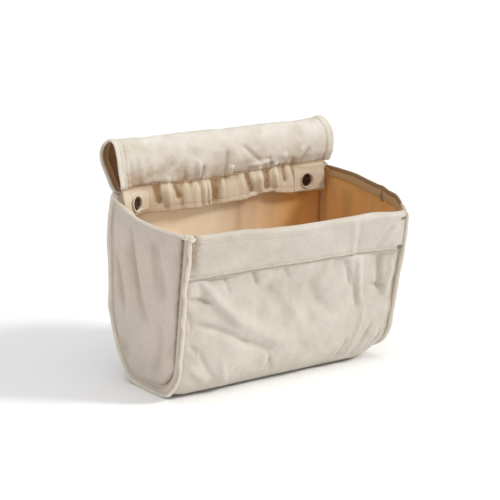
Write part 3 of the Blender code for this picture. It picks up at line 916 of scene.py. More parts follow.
def rim_curve(y, side):
    """Height of an end's rim. The near end has slumped and the far end is drawn straight."""
    y0, y1 = RIM_FRONT, U.points[-1, 0]
    t = np.clip((y - y0) / (y1 - y0), 0, 1)
    if side < 0:
        return RIM_Z + 0.5 * MM + (BACK_Z - RIM_Z - 1 * MM) * t**3.3
    kink = 0.9 * hump(y, -26, 5) - 0.7 * hump(y, -36, 6)
    full = 2.4 * bell(t - 0.9, 0.14)
    return RIM_Z - 1.5 * MM + (BACK_Z - RIM_Z + 1 * MM) * t**1.15 + (kink + full) * MM


def rim_bow(y, side):
    """How far an end's rim stands out of the end's plane."""
    y0, y1 = RIM_SPAN
    t = np.clip((y - y0) / (y1 - y0), 0, 1)
    wave = wander(y, 24, 103 if side < 0 else 113)
    return 1.6 * MM * np.sin(math.pi * t) + 0.5 * MM * wave


# The same for the end panels (y, z)
END_FOLDS = (
    ((53, 176), (51, 120), 2.6, 0.9),
    ((45, 172), (40, 104), 2.8, -1.1),
    ((36, 168), (28, 96), 3.4, 1.1, -2),
    ((25, 164), (14, 90), 3.6, -1.1, -2),
    ((9, 160), (1, 100), 4.4, 1.0),
    ((-8, 158), (-12, 112), 3.6, -0.9),
    ((-24, 158), (-29, 118), 3.6, 0.8),
    ((-43, 158), (-46, 122), 2.8, -0.9),
    ((-52, 93), (-47, 78), 4.0, -1.8),
    ((-47, 70), (-30, 40), 4.0, 0.9, 2),
    ((48, 168), (26, 96), 7.0, 2.0, -3),
    ((62, 150), (44, 80), 5.0, -1.6, -2),
    ((30, 150), (4, 70), 9.0, -1.4, -4),
    ((-14, 150), (-22, 96), 8.0, -1.1),
    ((-36, 128), (-42, 88), 6.0, 1.2),
    ((20, 60), (34, 20), 9.0, 1.2, 3),
    ((-20, 70), (-6, 24), 8.0, -1.0, 3),
)


def end_grid(side, nu, nv):
    """Points (y, z) of an end panel as a Coons patch between its rim and its seam."""
    inset = TAPE_REACH - 1 * MM
    top_front = RIM_FRONT + inset
    top_back = U.points[-1, 0] - inset
    s_front, s_back = BOTTOM_S - 62 * MM, BOTTOM_S + 70 * MM
    u = np.linspace(0, 1, nu)
    v = np.linspace(0, 1, nv)
    rim_y = top_front + (top_back - top_front) * u
    top = np.stack([rim_y, rim_curve(rim_y, side) - 1 * MM], 1)

    def along(a, b, count):
        return np.stack(U.at(np.linspace(a, b, count), inset)[:2], 1)

    left = along(0, s_front, nv)
    right = along(U.length, s_back, nv)
    bottom = along(s_front, s_back, nu)
    left = left + (top[0] - left[0]) * (1 - v[:, None]) ** 6
    right = right + (top[-1] - right[0]) * (1 - v[:, None]) ** 6
    V, W = v[:, None, None], u[None, :, None]
    ruled_v = (1 - V) * top[None] + V * bottom[None]
    ruled_u = (1 - W) * left[:, None] + W * right[:, None]
    corners = ((1 - V) * (1 - W) * top[0] + (1 - V) * W * top[-1]
               + V * (1 - W) * bottom[0] + V * W * bottom[-1])
    return ruled_v + ruled_u - corners


def seam_share(nv, nu):
    """How far a point of an end's grid is from the seam, as a share. The rim stays free."""
    i = np.arange(nu)[None] / (nu - 1)
    j = np.arange(nv)[:, None] / (nv - 1)
    return np.minimum(np.minimum(i, 1 - i), 1 - j)


def edge_distance(nv, nu, size):
    """0 at the seam side of an end's grid and 1 a little way inside."""
    return smooth01(seam_share(nv, nu) / size)


def make_end(side, name):
    nu, nv = 64, 76
    y, z = np.moveaxis(end_grid(side, nu, nv), -1, 0)
    inside = edge_distance(nv, nu, 0.12)
    crown = 2.4 * edge_distance(nv, nu, 0.5)
    out = add_folds(crown, END_FOLDS, y, z, 2.4 if side < 0 else 1.2, share=inside)
    seed = 61 if side < 0 else 71
    broad, small = crumple(y, z, 55, seed, 2), crumple(y, z, 16, seed + 9, 2)
    out = out + (2.0 * broad + 0.5 * small) * inside
    rim_dist = np.maximum(rim_curve(y, side) - z, 0)
    out = out + 0.5 * gathers(y, rim_dist, 16, 18, seed + 5) * inside
    free = rise(rim_dist, 9, 13)
    out = out * free + rim_bow(y, side) / MM * (1 - free)
    middle_x = PANEL_X - CLOTH / 2
    tucked = 0.3 + 0.7 * (1 - rise(y, -10, 50))
    base = middle_x - 1.3 * MM * (1 - edge_distance(nv, nu, 0.06)) * tucked
    P = np.stack([side * (base + out * MM), y, z], -1)
    pinned = rim_dist < 12 * MM
    pinned[:, 0] = pinned[:, -1] = pinned[-1] = True
    P = P + relaxed_step(P, pinned, 0.006, 14, 3 * MM, 3.0)
    limit = FIN_OUT + 2.0 * MM
    P[..., 0] = side * np.minimum(side * P[..., 0], limit)
    fine = refine(P, 3)
    seam = seam_share(*fine.shape[:2])
    # Painted shade: a dark line beside the seam, widest and strongest at the front and fading
    # towards the back, and darker hollows of the folds.
    seam_shade_share = 1 - 0.88 * rise(fine[..., 1], -30, 40)
    wide = 0.012 + 0.030 * fall(fine[..., 1], -5, 30)
    relief = refine_values(out - crown)
    shade_and_stain = (1.3 * bell(seam, wide) + 0.2 * bell(seam, 0.08)) * seam_shade_share
    shade_and_stain = np.minimum(shade_and_stain + 0.24 * np.clip(-relief / 2.5, 0, 1), 1.0)
    uv = np.stack([fine[..., 1], fine[..., 2]], -1)
    if side > 0:
        fine, uv, shade_and_stain = fine[:, ::-1], uv[:, ::-1], shade_and_stain[:, ::-1]
    panel = shell(f"{name}_end_canvas", fine, uv, CLOTH, [END_PAINTED_BOUNCE, INSIDE_PAINTED_LIGHT], shade=shade_and_stain)
    on_bag(panel, f"{name}_end_panel")


def make_fin(side, name):
    """The bound seam that stands outside: pressed face, corded edge and sewn groove."""
    seed = 81 if side < 0 else 91
    count = 420
    s = np.linspace(-0.9 * MM, U.length + 1.5 * MM, count)
    radius = 1.75 * MM
    cord_x = FIN_OUT - radius
    face_x = FIN_OUT - 0.7 * MM
    reach = TAPE_REACH + 0.2 * MM
    n = np.arange(count)
    wave, jitter, nub = (wander(s, size, seed + k) for k, size in enumerate((24, 10, 4)))
    stitch = np.sin(2 * math.pi * s / STITCH)
    root = root_depth(s)
    # Painted shade in the seam's groove and at the fin's root: strong at the front, faint towards
    # the back.
    front = smooth01((BOTTOM_S - 20 * MM - s) / (50 * MM))
    front_shade_share = 0.14 + 0.86 * front
    corner = hump(U.at(s)[1], 9, 9) * (s < BOTTOM_S)
    ends = np.minimum(1.0, np.minimum(n + 1.5, count - n + 0.5) / 5)
    r = radius * (1 + 0.16 * jitter + 0.10 * nub) * ends
    lean = (1.1 * wave - 0.3 + 0.35 * jitter) * MM + 0.9 * MM * corner * jitter
    edge = 0.45 * MM * jitter + 0.25 * MM * wave
    profile = [
        (PANEL_X - 2.4 * MM, reach + 1.2 * MM, 1.2 * front_shade_share),
        (PANEL_X - (0.1 + 1.1 * front) * MM, reach + 0.1 * MM, 1.3 * front_shade_share),
        (face_x - (0.5 + 0.5 * front) * MM, reach - 0.8 * MM, 0.8 * front_shade_share),
        (face_x + 0.12 * MM * stitch, reach - 1.9 * MM, 0.1),
        (face_x - 0.2 * MM * stitch + lean * 0.5, 5.4 * MM, 0.1),
        (face_x - 0.9 * MM + lean, 3.9 * MM, 0.6 * front_shade_share),
    ]
    for angle in np.radians(np.arange(-60, 181, 30)):
        profile.append((cord_x + lean + r * np.cos(angle), radius + edge - r * np.sin(angle), 0))
    profile += [
        (FIN_IN + 0.6 * MM + lean * 0.6, 4.2 * MM, 0.6),
        (FIN_IN + 0.1 * MM, np.minimum(root, 5.4 * MM), 0.8),
        (FIN_IN - 0.2 * MM, root + 1.2 * MM, 0.35),
        (FIN_IN + 1.2 * MM, reach + 1.2 * MM, 0.25),
    ]
    x, depth, painted_shade_level = profile_columns(profile, s)
    y, z, _, _ = U.at(s[:, None], depth)
    rings = np.stack([side * x, y, np.maximum(z, 0.25 * MM)], -1)
    fin = tube(f"{name}_seam_fin", rings, [EDGE_HIGHLIGHT, END_PAINTED_BOUNCE, CANVAS, INSIDE_PAINTED_LIGHT], painted_shade_level.ravel() * 0.8)
    paint_strips(fin, count, [1] * 5 + [0] * 10 + [2] * 2 + [3] * 2)
    on_bag(fin, f"{name}_seam_binding")
    inner = s[(s > 4 * MM) & (s < U.length - 4 * MM)]
    y, z = U.at(inner, reach - 1.9 * MM)[:2]
    curve = np.stack([np.full_like(y, side * (face_x + 0.1 * MM)), y, z], 1)
    row = stitches(f"{name}_seam_stitches", curve, (side, 0, 0), SHADED_THREAD, seed,
                   wide=0.7 * MM, high=0.25 * MM)
    on_bag(row, f"{name}_seam_thread")


def make_rim(side, name):
    """The hem folded over an end's rim, and its stitches."""
    seed = 101 if side < 0 else 111
    y0, y1 = RIM_SPAN
    y = np.linspace(y0, y1, 120)
    z = rim_curve(y, side) + 0.25 * MM * wander(y, 14, seed)
    mid = PANEL_X - CLOTH / 2
    bow = rim_bow(y, side)
    out_leg, in_leg = 2.0, 10.5
    profile = (
        (-1.25, -out_leg, 0.5), (-1.45, -out_leg + 0.4, 0.1), (-1.5, -1.0, 0.0),
        (-1.1, 0.1, 0.0), (-0.4, 0.75, 0.0), (0.4, 0.8, 0.0), (1.2, 0.2, 0.0),
        (1.6, -1.0, 0.1), (1.65, -2.6, 0.1), (1.6, -3.3, 0.1), (1.5, -6.6, 0.2),
        (1.55, -in_leg + 0.5, 0.1), (1.3, -in_leg, 0.5), (0.7, -in_leg + 0.2, 0.8),
        (0.6, -2.0, 0.3), (-0.6, -2.0, 0.3), (-0.75, -out_leg + 0.2, 0.6),
    )
    across, up, painted_shade_level = profile_columns(profile, y)
    x = side * (mid + bow[:, None] - across * MM)
    rings = np.stack([x, y[:, None] + 0 * x, z[:, None] + up * MM], -1)
    # Painted shade: a dark line along the top of the far rim's fold, and darker hem legs.
    fold_line = (side > 0) & (across > -1.3) & (across < 1.7) & (up > -3.0)
    shade = np.where(fold_line, 1.15, painted_shade_level * 0.6).ravel()
    hem = tube(f"{name}_rim_fold", rings, [EDGE_HIGHLIGHT, RIM_INSIDE_PAINTED_LIGHT], shade)
    outer = 6 if side < 0 else 2
    paint_strips(hem, len(rings), [0] * outer + [1] * (len(profile) - outer))
    on_bag(hem, f"{name}_rim_hem")
    curve = np.stack([side * (mid + bow - 1.65 * MM), y, z - 7.6 * MM], 1)[3:-3]
    row = stitches(f"{name}_rim_stitches", curve, (-side, 0, 0), SHADED_THREAD, seed,
                   wide=0.6 * MM, high=0.3 * MM)
    on_bag(row, f"{name}_rim_thread")


# ------------------------------------------------------------------ band and liner


def band_relief(x, drop):
    """The band's face: slanting ripples, two soft upright folds, and a sewn lower edge."""
    slant = x + drop * 0.42 + 1.2 * MM * noise2(x / (20 * MM), drop / (20 * MM), 119)
    ripple = 0.24 * np.sin(2 * math.pi * slant / (3.9 * MM)) * fall(x, 40, 60)
    patch = np.clip(0.5 + 0.9 * noise2(x / (22 * MM), drop / (14 * MM), 121), 0, 1)
    ripple = ripple * patch * rise(drop, 5, 6)
    soft = 0.9 * crumple(x, drop, 38, 123, 2) + 0.25 * crumple(x, drop, 12, 125, 2)
    folds = 0.9 * hump(x - 62 * MM - 0.1 * drop, 0, 3) - 0.8 * hump(x, 70, 3)
    folds = folds + 1.0 * fold(x, -drop, (0.098, -0.034), (0.112, -0.010), 3 * MM)
    folds = folds - 0.9 * fold(x, -drop, (0.091, -0.036), (0.104, -0.014), 2.6 * MM)
    groove = -0.45 * hump(drop - BAND_ROW, 0, 1.1)
    lip_edge = 0.35 * hump(drop - BAND_DROP, 0, 1.4)
    rim = -0.3 * hump(drop, 6.5, 1.0)
    return (ripple + soft + folds + groove + lip_edge + rim) * MM


BAND_ENDS = (-FIN_IN - 0.9 * MM, BAND_X + 2.0 * MM)


def make_band():
    nu = 330
    x = np.linspace(*BAND_ENDS, nu)
    face, inner = FIN_DEPTH - 1.3 * MM, FIN_DEPTH + 2.6 * MM
    track = [(BAND_DROP * (1 - t), face) for t in np.linspace(0, 1, 44)]
    middle, radius = (face + inner) / 2, (inner - face) / 2
    for k in range(1, 10):
        angle = math.pi * k / 10
        track.append((-radius * math.sin(angle) * 0.8, middle - radius * math.cos(angle)))
    track += [(14 * MM * t, inner) for t in np.linspace(0, 1, 12)]
    track = np.array(track)
    rows = []
    for drop, depth in track:
        outer = depth < middle
        d = np.full(nu, drop)
        sag = 0.6 * MM * wander(x, 70, 131) * (1 if drop < 10 * MM else 0.3)
        relief = band_relief(x, d) if outer else 0.2 * MM * crumple(x, d, 30, 133, 2)
        edge = 0.5 * MM * wander(x, 9, 135) * rise(drop, 30, 10)
        tucked = 1.0 * MM * smooth01((BAND_ENDS[0] + 13 * MM - x) / (9 * MM)) if outer else 0
        depth_here = depth + tucked - far_swell(x, d)
        y, z, _, _ = U.at(d + sag + edge, depth_here - (relief if outer else -relief))
        rows.append(np.stack([x, y, z], 1))
    P = np.array(rows)
    X, V = np.meshgrid(x, lengths(track))
    free = (V > 5 * MM) & (V < 36 * MM)
    free = free & (X > BAND_ENDS[0] + 9 * MM) & (X < BAND_ENDS[1] - 6 * MM)
    P = rest_in_place(P, ~free, 0.006, 10, 0.5 * MM)
    # Painted shade along the band's lower edge and stitch row and in the groove at its near end;
    # the band also darkens towards the near end.
    shade_and_stain = 0.8 * hump(V, 0, 1.0) + 0.25 * hump(V, 3.2, 0.8)
    groove = hump(X - BAND_ENDS[0], 5.0, 4.6) * rise(V, 1.5, 14)
    upper = fall(V, 60, 8) * (V < 46 * MM)
    shade_and_stain = shade_and_stain * (0.25 + 0.75 * rise(X - BAND_ENDS[0], 4, 22))
    shade_and_stain = shade_and_stain + 0.75 * groove * upper + 0.12 * fall(X, 20, 70)
    band = shell("front_band_canvas", P, np.stack([X, V], -1), 1.7 * MM, [CANVAS, CANVAS],
                 shade=shade_and_stain)
    on_bag(band, "front_band")
    sx = np.linspace(BAND_ENDS[0] + 2 * MM, BAND_ENDS[1] - 2 * MM, 240)
    d = np.full_like(sx, BAND_ROW)
    y, z, ny, nz = U.at(d, face - far_swell(sx, d) - band_relief(sx, d) - 0.75 * MM)
    row = stitches("front_band_stitches", np.stack([sx, y, z], 1),
                   np.stack([0 * sx, -ny, -nz], 1), SOFT_THREAD, 141)
    on_bag(row, "front_band_thread")


def make_liner(sheet, sheet_x, sheet_s):
    """The second bottom, laid on the sheet."""
    half = high("bottom_liner").x
    top = high("bottom_liner").z
    rows = np.nonzero(sheet[:, sheet.shape[1] // 2, 2] < top)[0]
    columns = np.nonzero(np.abs(sheet_x[0]) < half)[0]
    part = slice(rows[0], rows[-1] + 1), slice(columns[0], columns[-1] + 1)
    P = sheet[part] - grid_normals(sheet)[part] * (CLOTH + 0.9 * MM)
    uv = np.stack([sheet_x[part], sheet_s[part]], -1)
    liner = shell("bottom_lining", P, uv, CLOTH, [INSIDE_PAINTED_LIGHT])
    on_bag(liner, "bottom_liner")


# ------------------------------------------------------------------ tunnel


# Outlines of the loop (y, z), in millimetres: from the seam up the back, over and down the front
LOOP_LEFT = (
    (57.5, 183.0), (62, 183.6), (67.6, 187.9), (76.4, 199), (81.7, 206.9), (83.0, 214.3),
    (79.2, 222.5), (71.6, 228.2), (64.2, 230.0), (57.1, 226.4), (52.1, 213.9), (49, 200.2),
    (46.5, 190), (45.5, 184.3),
)
LOOP_MIDDLE = (
    (57.2, 184.2), (61, 186.5), (66.5, 191), (74, 199.5), (79.5, 207.5), (81.5, 215.5),
    (78.8, 223.9), (71.8, 229.0), (62.6, 228.6), (55.2, 222.6), (51.2, 211.5), (50.6, 200.5),
    (52.6, 191.5), (54.4, 184.6),
)
LOOP_RIGHT = (
    (57.5, 183.5), (62, 185.5), (67, 190), (75, 199), (81, 208), (82.6, 217),
    (80.5, 226), (73.2, 231.0), (62.4, 229.8), (52.6, 222.4), (49.4, 211.3), (50.4, 199.5),
    (53.2, 190.5), (54.4, 184.6),
)
# The same for the loop and the lip (x, height above the stitch row)
SEAM_FOLDS = (
    ((-98, -3), (-97, -17), 3.2, -1.3),
    ((-82, -1), (-80, -18), 3.8, -2.2),
    ((-71, 3), (-72, -20), 3.6, 1.9),
    ((-63, -2), (-58, -14), 3.8, -1.5),
    ((-30, 2), (-29, -22), 1.8, 1.3),
    ((-24, 0), (-23, -22), 2.0, 1.5),
    ((-17, 1), (-16, -20), 3.2, -2.1),
    ((-6, 0), (-8, -20), 2.4, 0.9),
    ((22, -3), (28, -19), 3.4, -2.4),
    ((36, 3), (37, -20), 3.2, 1.9),
    ((46, 0), (46, -18), 3.8, -2.2),
    ((56, 4), (56, -18), 3.0, 1.9),
    ((66, 2), (68, -16), 3.2, -1.2),
    ((78, 8), (80, -12), 3.0, -2.0),
    ((-50, 2), (-53, 10), 3.0, -1.3),
    ((-32, 1), (-31, 14), 2.6, -1.9),
    ((-35, 3), (-38, 20), 3.4, 1.0),
    ((-5, 4), (-3, 24), 2.6, -1.7),
    ((0, 2), (3, 10), 3.0, 1.5),
    ((18, 28), (36, 12), 3.0, -1.4),
    ((26, 8), (52, 10), 3.0, 1.0),
    ((52, 3), (48, 14), 2.4, -1.2),
    ((62, 3), (67, 16), 3.2, 1.0),
    ((80, 5), (88, 20), 3.0, 1.2),
    ((88, 4), (96, 18), 2.6, -1.2),
    ((-84, 10), (-66, 22), 6.0, -1.2),
    ((-60, 8), (-44, 30), 7.0, -1.1),
    ((-100, 4), (-104, 30), 4.0, 0.9),
    ((-112, 2), (-114, 26), 3.0, -1.0),
)


def resampled(points, count):
    path = Path(catmull(np.array(points, float) * MM, 16), 5)
    return np.stack(path.at(np.linspace(0, path.length, count))[:2], 1), path.length


LOOP_ROWS = 132
LOOP_CURVES = [resampled(points, LOOP_ROWS) for points in (LOOP_LEFT, LOOP_MIDDLE, LOOP_RIGHT)]
LOOP_LENGTH = LOOP_CURVES[1][1]
LOOP_END = 126.5 * MM
LOOP_ROW = LOOP_END - 8.5 * MM


def row_height(x):
    """How far the stitch row wanders above the seam along the bag."""
    step = 2.4 * rise(x, 0, 4) + 2.0 * rise(x, 46, 14)
    return (-0.4 + 2.4 * fall(x, -40, 50) + step) * MM


def seam_puckers(x, above):
    """How far the gathered cloth stands out, at a height above (or below) the stitch row."""
    down = np.maximum(-above, 0)
    up = np.maximum(above, 0)
    tab_left = rise(x - TABS[-1][1], -1, 6)
    tab_right = smooth01((TABS[1][0] + 1 * MM - x) / (6 * MM))
    loose = tab_left * tab_right
    below = (above < 0).astype(float)
    out = add_folds(np.zeros_like(x), SEAM_FOLDS, x, above, 1.8, 0.9)
    fine = (1.0 + 0.5 * below) * wander(x - 0.25 * up, 5.5, 211)
    out = out + fine * np.exp(-up / (6 * MM)) * np.exp(-down / (22 * MM))
    out = out + 0.8 * wander(x + 0.3 * up, 13, 213) * np.exp(-up / (18 * MM))
    away = smooth01(up / (5 * MM) + down / (8 * MM))
    out = out * (1 - below * (1 - loose)) * (0.35 + 0.65 * away)
    room = 1.7 + 3.0 * rise(above, 4, 12)
    out = np.where(out < 0, room * (np.exp(out / room) - 1), 1.25 * out)
    pinch = -0.7 * hump(above, 0, 1.5) - 0.6 * hump(above, 0, 5)
    return (out + pinch) * MM


def flare(x):
    """How far the near end of the gathered front has opened forward, 0 to 1."""
    return fall(x, -98, 28)


def loop_points(x):
    """Points of the loop for a row of x, shape (LOOP_ROWS, len(x), 2)."""
    left_curve, middle, right_curve = (c[0] for c in LOOP_CURVES)
    t = np.linspace(0, 1, LOOP_ROWS)[:, None]
    near = rise(-x[None], 50, 75)
    front = smooth01((t - 0.72) / 0.2)
    near = near * (1 - front) + flare(x[None]) * front
    far = rise(x[None], 70, 55) * np.ones_like(t)
    out = (left_curve[:, None] * near[..., None] + right_curve[:, None] * far[..., None]
           + middle[:, None] * (1 - near - far)[..., None])
    lift = row_height(x)[None] * smooth01((t - 0.84) / 0.16)
    out[..., 1] += lift
    return out


def loop_relief(x, t):
    """How far the loop's cloth stands out at x and at the share t of its length."""
    above = (1 - t) * LOOP_LENGTH
    out = seam_puckers(x, above)
    cloth = t * LOOP_LENGTH
    out = out + (1.3 * gathers(x, cloth, 15, 14, 171) * rise(cloth, 0, 4)) * MM
    away = rise(np.minimum(above, cloth), 0, 12)
    broad, small = crumple(x, cloth, 52, 173, 2), crumple(x, cloth, 15, 175, 2)
    out = out + (1.1 * broad + 0.35 * small) * away * MM
    out = out + 0.13 * crumple(x, cloth, 5, 177, 2) * MM
    hem = np.abs(x) - LOOP_ROW
    out = out + (-0.7 * hump(hem, 0, 1.1) + 0.5 * rise(hem, 0, 2.5)) * MM
    return out


def loop_surface(x):
    curve = loop_points(x)
    P = np.concatenate([np.broadcast_to(x[None, :, None], (LOOP_ROWS, len(x), 1)), curve], 2)
    X, T = np.meshgrid(x, np.linspace(0, 1, LOOP_ROWS))
    N = -grid_normals(P)
    return P, N, X, T


def on_tunnel(obj, node):
    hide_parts(node)
    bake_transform(obj)


def on_lip(obj, node, bends=True):
    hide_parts(node)
    if bends:
        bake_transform(obj)
    else:
        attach(obj, "lip")


def make_tunnel():
    x = np.linspace(-LOOP_END, LOOP_END, 340)
    P, N, X, T = loop_surface(x)
    relief = loop_relief(X, T)
    P = P + N * relief[..., None]
    above = (1 - T) * LOOP_LENGTH
    held = (above < 3 * MM) | (T * LOOP_LENGTH < 3 * MM) | (np.abs(X) > LOOP_END - 11 * MM)
    P = rest_in_place(P, held, 0.010, 12, 1.6 * MM)
    # Painted shade in the hollows of the puckers, along the stitch row and the end hems, and
    # fading up from the seam; the mottled patches near the seam are stains.
    hollow = fall(relief, 0, 1.8) * np.exp(-above / (16 * MM))
    mottled = np.clip(0.35 + 0.9 * crumple(X, above, 13, 179, 3), 0, 1)
    mottled = mottled * np.exp(-((above / (36 * MM)) ** 2))
    mottled = mottled * (0.35 + 0.65 * fall(X, -25, 50))
    shade_and_stain = 0.12 * hump(above, 0, 1.6) + 0.62 * hollow + 0.2 * np.exp(-above / (8 * MM))
    shade_and_stain = shade_and_stain + 0.55 * mottled
    shade_and_stain = shade_and_stain + 0.35 * hump(np.abs(X) - LOOP_ROW, 0, 0.9)
    uv = np.stack([X, T * LOOP_LENGTH], -1)
    loop = shell("tunnel_canvas", P[::-1], uv[::-1], CLOTH, [LIT_TOP, SHADED_CANVAS], shade=shade_and_stain[::-1])
    on_tunnel(loop, "tunnel_loop")
    for side, name in SIDES.items():
        make_tunnel_end(side, name)


def make_tunnel_end(side, name):
    beside = np.array([-0.4, 0.0, 0.4]) * MM
    x = side * LOOP_END + beside
    P, N, X, T = loop_surface(x)
    curve, out = P[:, 1], N[:, 1]
    out = out / np.linalg.norm(out, axis=1, keepdims=True)
    n = np.arange(len(curve))
    curve = curve + out * (0.3 * MM * noise1(n / 7.0, 181 + side)
                           + loop_relief(X, T)[:, 1] * 0.8)[:, None]
    angle = 2 * math.pi * np.arange(14)[:, None] / 14
    rings = curve[:, None] + (np.cos(angle) * 2.1 - 1.2) * MM * np.array([side, 0, 0])
    rings = rings + out[:, None] * (np.sin(angle) * 1.25 - 0.15) * MM
    hem = tube(f"tunnel_{name}_rolled_end", rings[1:-1], [EDGE_HIGHLIGHT])
    on_tunnel(hem, f"tunnel_{name}_hem")
    x = side * LOOP_ROW + beside
    P, N, X, T = loop_surface(x)
    out = N[:, 1]
    curve = P[:, 1] + out * (loop_relief(X, T)[:, 1] + CLOTH / 2 + 0.1 * MM)[:, None]
    row = stitches(f"tunnel_{name}_stitches", curve[6:-6], out[6:-6], THREAD, 191 + side)
    on_tunnel(row, f"tunnel_{name}_thread")


# ------------------------------------------------------------------ lip

LIP_CLOTH = 1.8 * MM
LIP_NEAR = -LOOP_END + 1.2 * MM
HEM_V = 0.84  # the lip's stitched row, as a share of its drop
LIP_DROP = 24 * MM


def lip_base(x, v):
    """(y, z) of the hanging lip at v from the stitch row (0) to its lower edge (1)."""
    front_y = LIP_FRONT + 0.6 * MM
    y = WALL_Y + (front_y - WALL_Y) * smooth01(v / 0.5)
    y = y - flare(x) * (9 + 3.5 * v) * MM
    top = SEAM.z + row_height(x)
    edge = LIP_LOW - 0.5 * MM + 0.7 * MM * wander(x, 19, 201)
    edge = edge + 0.4 * MM * wander(x, 7, 203)
    edge = edge + 4.5 * MM * hump(x, 46, 20) - 1.2 * MM * hump(x, -30, 40)
    edge = edge + 1.5 * MM * fall(x, -92, 22)
    loose = rise(x, -40, 30) * smooth01((TABS[1][0] - 2 * MM - x) / (8 * MM))
    edge = edge + 1.5 * MM * loose * (0.5 - np.abs(wander(x, 6.5, 205)))
    return y, top + (edge - top) * v


def lip_relief(x, v):
    top = SEAM.z + row_height(x)
    _, z = lip_base(x, v)
    out = seam_puckers(x, z - top)
    hem = (0.25 * smooth01((v - HEM_V) / 0.03) - 0.25 * bell(v - HEM_V, 0.03)) * MM
    return out + hem + 0.3 * crumple(x, z, 20, 215, 2) * MM


def hole_mask(P, quads):
    centre = P.reshape(-1, 3)[quads].mean(1)
    keep = np.ones(len(quads), bool)
    for pin in PINS.values():
        keep &= np.hypot(centre[:, 0] - pin.x, centre[:, 2] - pin.z) > HOLE_R
    return keep


def ease_round_holes(P):
    """Draw the grid near each pin hole onto the hole's circle."""
    for pin in PINS.values():
        dx, dz = P[..., 0] - pin.x, P[..., 2] - pin.z
        r = np.maximum(np.hypot(dx, dz), 1e-9)
        scale = np.where(np.abs(r - HOLE_R) < 0.6 * MM, HOLE_R / r, 1.0)
        P[..., 0] = pin.x + dx * scale
        P[..., 2] = pin.z + dz * scale
    return P


def make_lip():
    x = np.linspace(LIP_NEAR, LIP_X, 336)
    v = np.linspace(-0.1, 1, 44)
    X, V = np.meshgrid(x, v)
    y, z = lip_base(X, V)
    relief = lip_relief(X, V)
    behind = 1.3 * MM * smooth01(-V / 0.04)
    P = np.stack([X, y - relief + behind, z], -1)
    held = (V < 0.1) | (V > HEM_V - 0.06)
    held = held | (X < TABS[-1][1] + 3 * MM) | (X > TABS[1][0] - 3 * MM)
    P = ease_round_holes(rest_in_place(P, held, 0.012, 12, 0.8 * MM))
    # Painted shade in the hollows of the puckers and along the two stitch rows; the lip also
    # darkens towards its lower edge, more on its near half, and the patchy marks are stains.
    hollow = fall(relief, 0, 1.5)
    near = fall(X, -20, 60)
    open_end = 1 - fall(X, -106, 8)
    patchy = np.clip(0.4 + 0.9 * crumple(X, V * LIP_DROP, 12, 227, 3), 0, 1) * near * open_end
    shade_and_stain = 0.12 * bell(V, 0.07) + 0.05 * bell(V - HEM_V, 0.03) + 0.95 * hollow
    shade_and_stain = shade_and_stain + (0.14 + 0.26 * near) * smooth01(V) * open_end + 0.22 * patchy
    uv = np.stack([X, V * LIP_DROP], -1)
    lip = shell("lip_canvas", P[::-1], uv[::-1], LIP_CLOTH, [LIP, SHADED_CANVAS], keep=hole_mask,
                shade=shade_and_stain[::-1])
    on_lip(lip, "lip_sheet")
    cx = np.linspace(TABS[-1][1] + 1 * MM, TABS[1][0] - 1 * MM, 300)
    cv = np.full_like(cx, HEM_V)
    y, z = lip_base(cx, cv)
    curve = np.stack([cx, y - lip_relief(cx, cv) - LIP_CLOTH / 2, z], 1)
    row = stitches("lip_hem_stitches", curve, (0, -1, 0), SOFT_THREAD, 221, wide=0.7 * MM,
                   high=0.3 * MM)
    on_lip(row, "lip_hem_thread", bends=False)
    for side, name in SIDES.items():
        make_tab(side, name)
        make_eyelet(side, name)


def tab_front(x, z):
    """Y of the lip's front face at x and z."""
    top = SEAM.z + row_height(x)
    _, edge = lip_base(x, np.ones_like(x))
    v = np.clip((top - z) / (top - edge), 0, 1)
    y, _ = lip_base(x, v)
    return y - lip_relief(x, v) - LIP_CLOTH / 2


def make_tab(side, name):
    first, last = TABS[side]
    x = np.linspace(first, last, 52 if side > 0 else 40)
    z = np.linspace(LIP_LOW + 0.2 * MM, SEAM.z - 0.2 * MM, 34)
    X, Z = np.meshgrid(x, z)
    plain = 0.7 if side > 0 else 0.1
    y = tab_front(X, Z) + (0.45 - 1.2 * plain) * MM
    y = y - 0.2 * MM * crumple(X, Z, 14, 231 + side, 2)
    edge = np.minimum(np.minimum(X - first, last - X), np.minimum(Z - z[0], z[-1] - Z))
    y = y + 0.4 * plain * MM * hump(edge, 2.6, 0.7)
    y = y + (1 - plain) * 0.9 * MM * hump(edge, 0, 2.0)
    P = ease_round_holes(np.stack([X, y, Z], -1))
    # Painted shade along the tab's edges and stitched outline, mostly on the far tab, which also
    # darkens away from its near edge.
    shade_and_stain = (0.45 * hump(edge, 0, 0.9) + 0.25 * hump(edge, 2.6, 0.6)) * plain
    shade_and_stain = shade_and_stain + (0.2 * smooth01((X - first) / (10 * MM)) if side > 0 else 0)
    tab = shell(f"{name}_pin_tab", P, np.stack([X, Z], -1), 1.1 * MM,
                [LIP, SHADED_CANVAS], keep=hole_mask, shade=shade_and_stain)
    on_lip(tab, f"{name}_pin_patch")


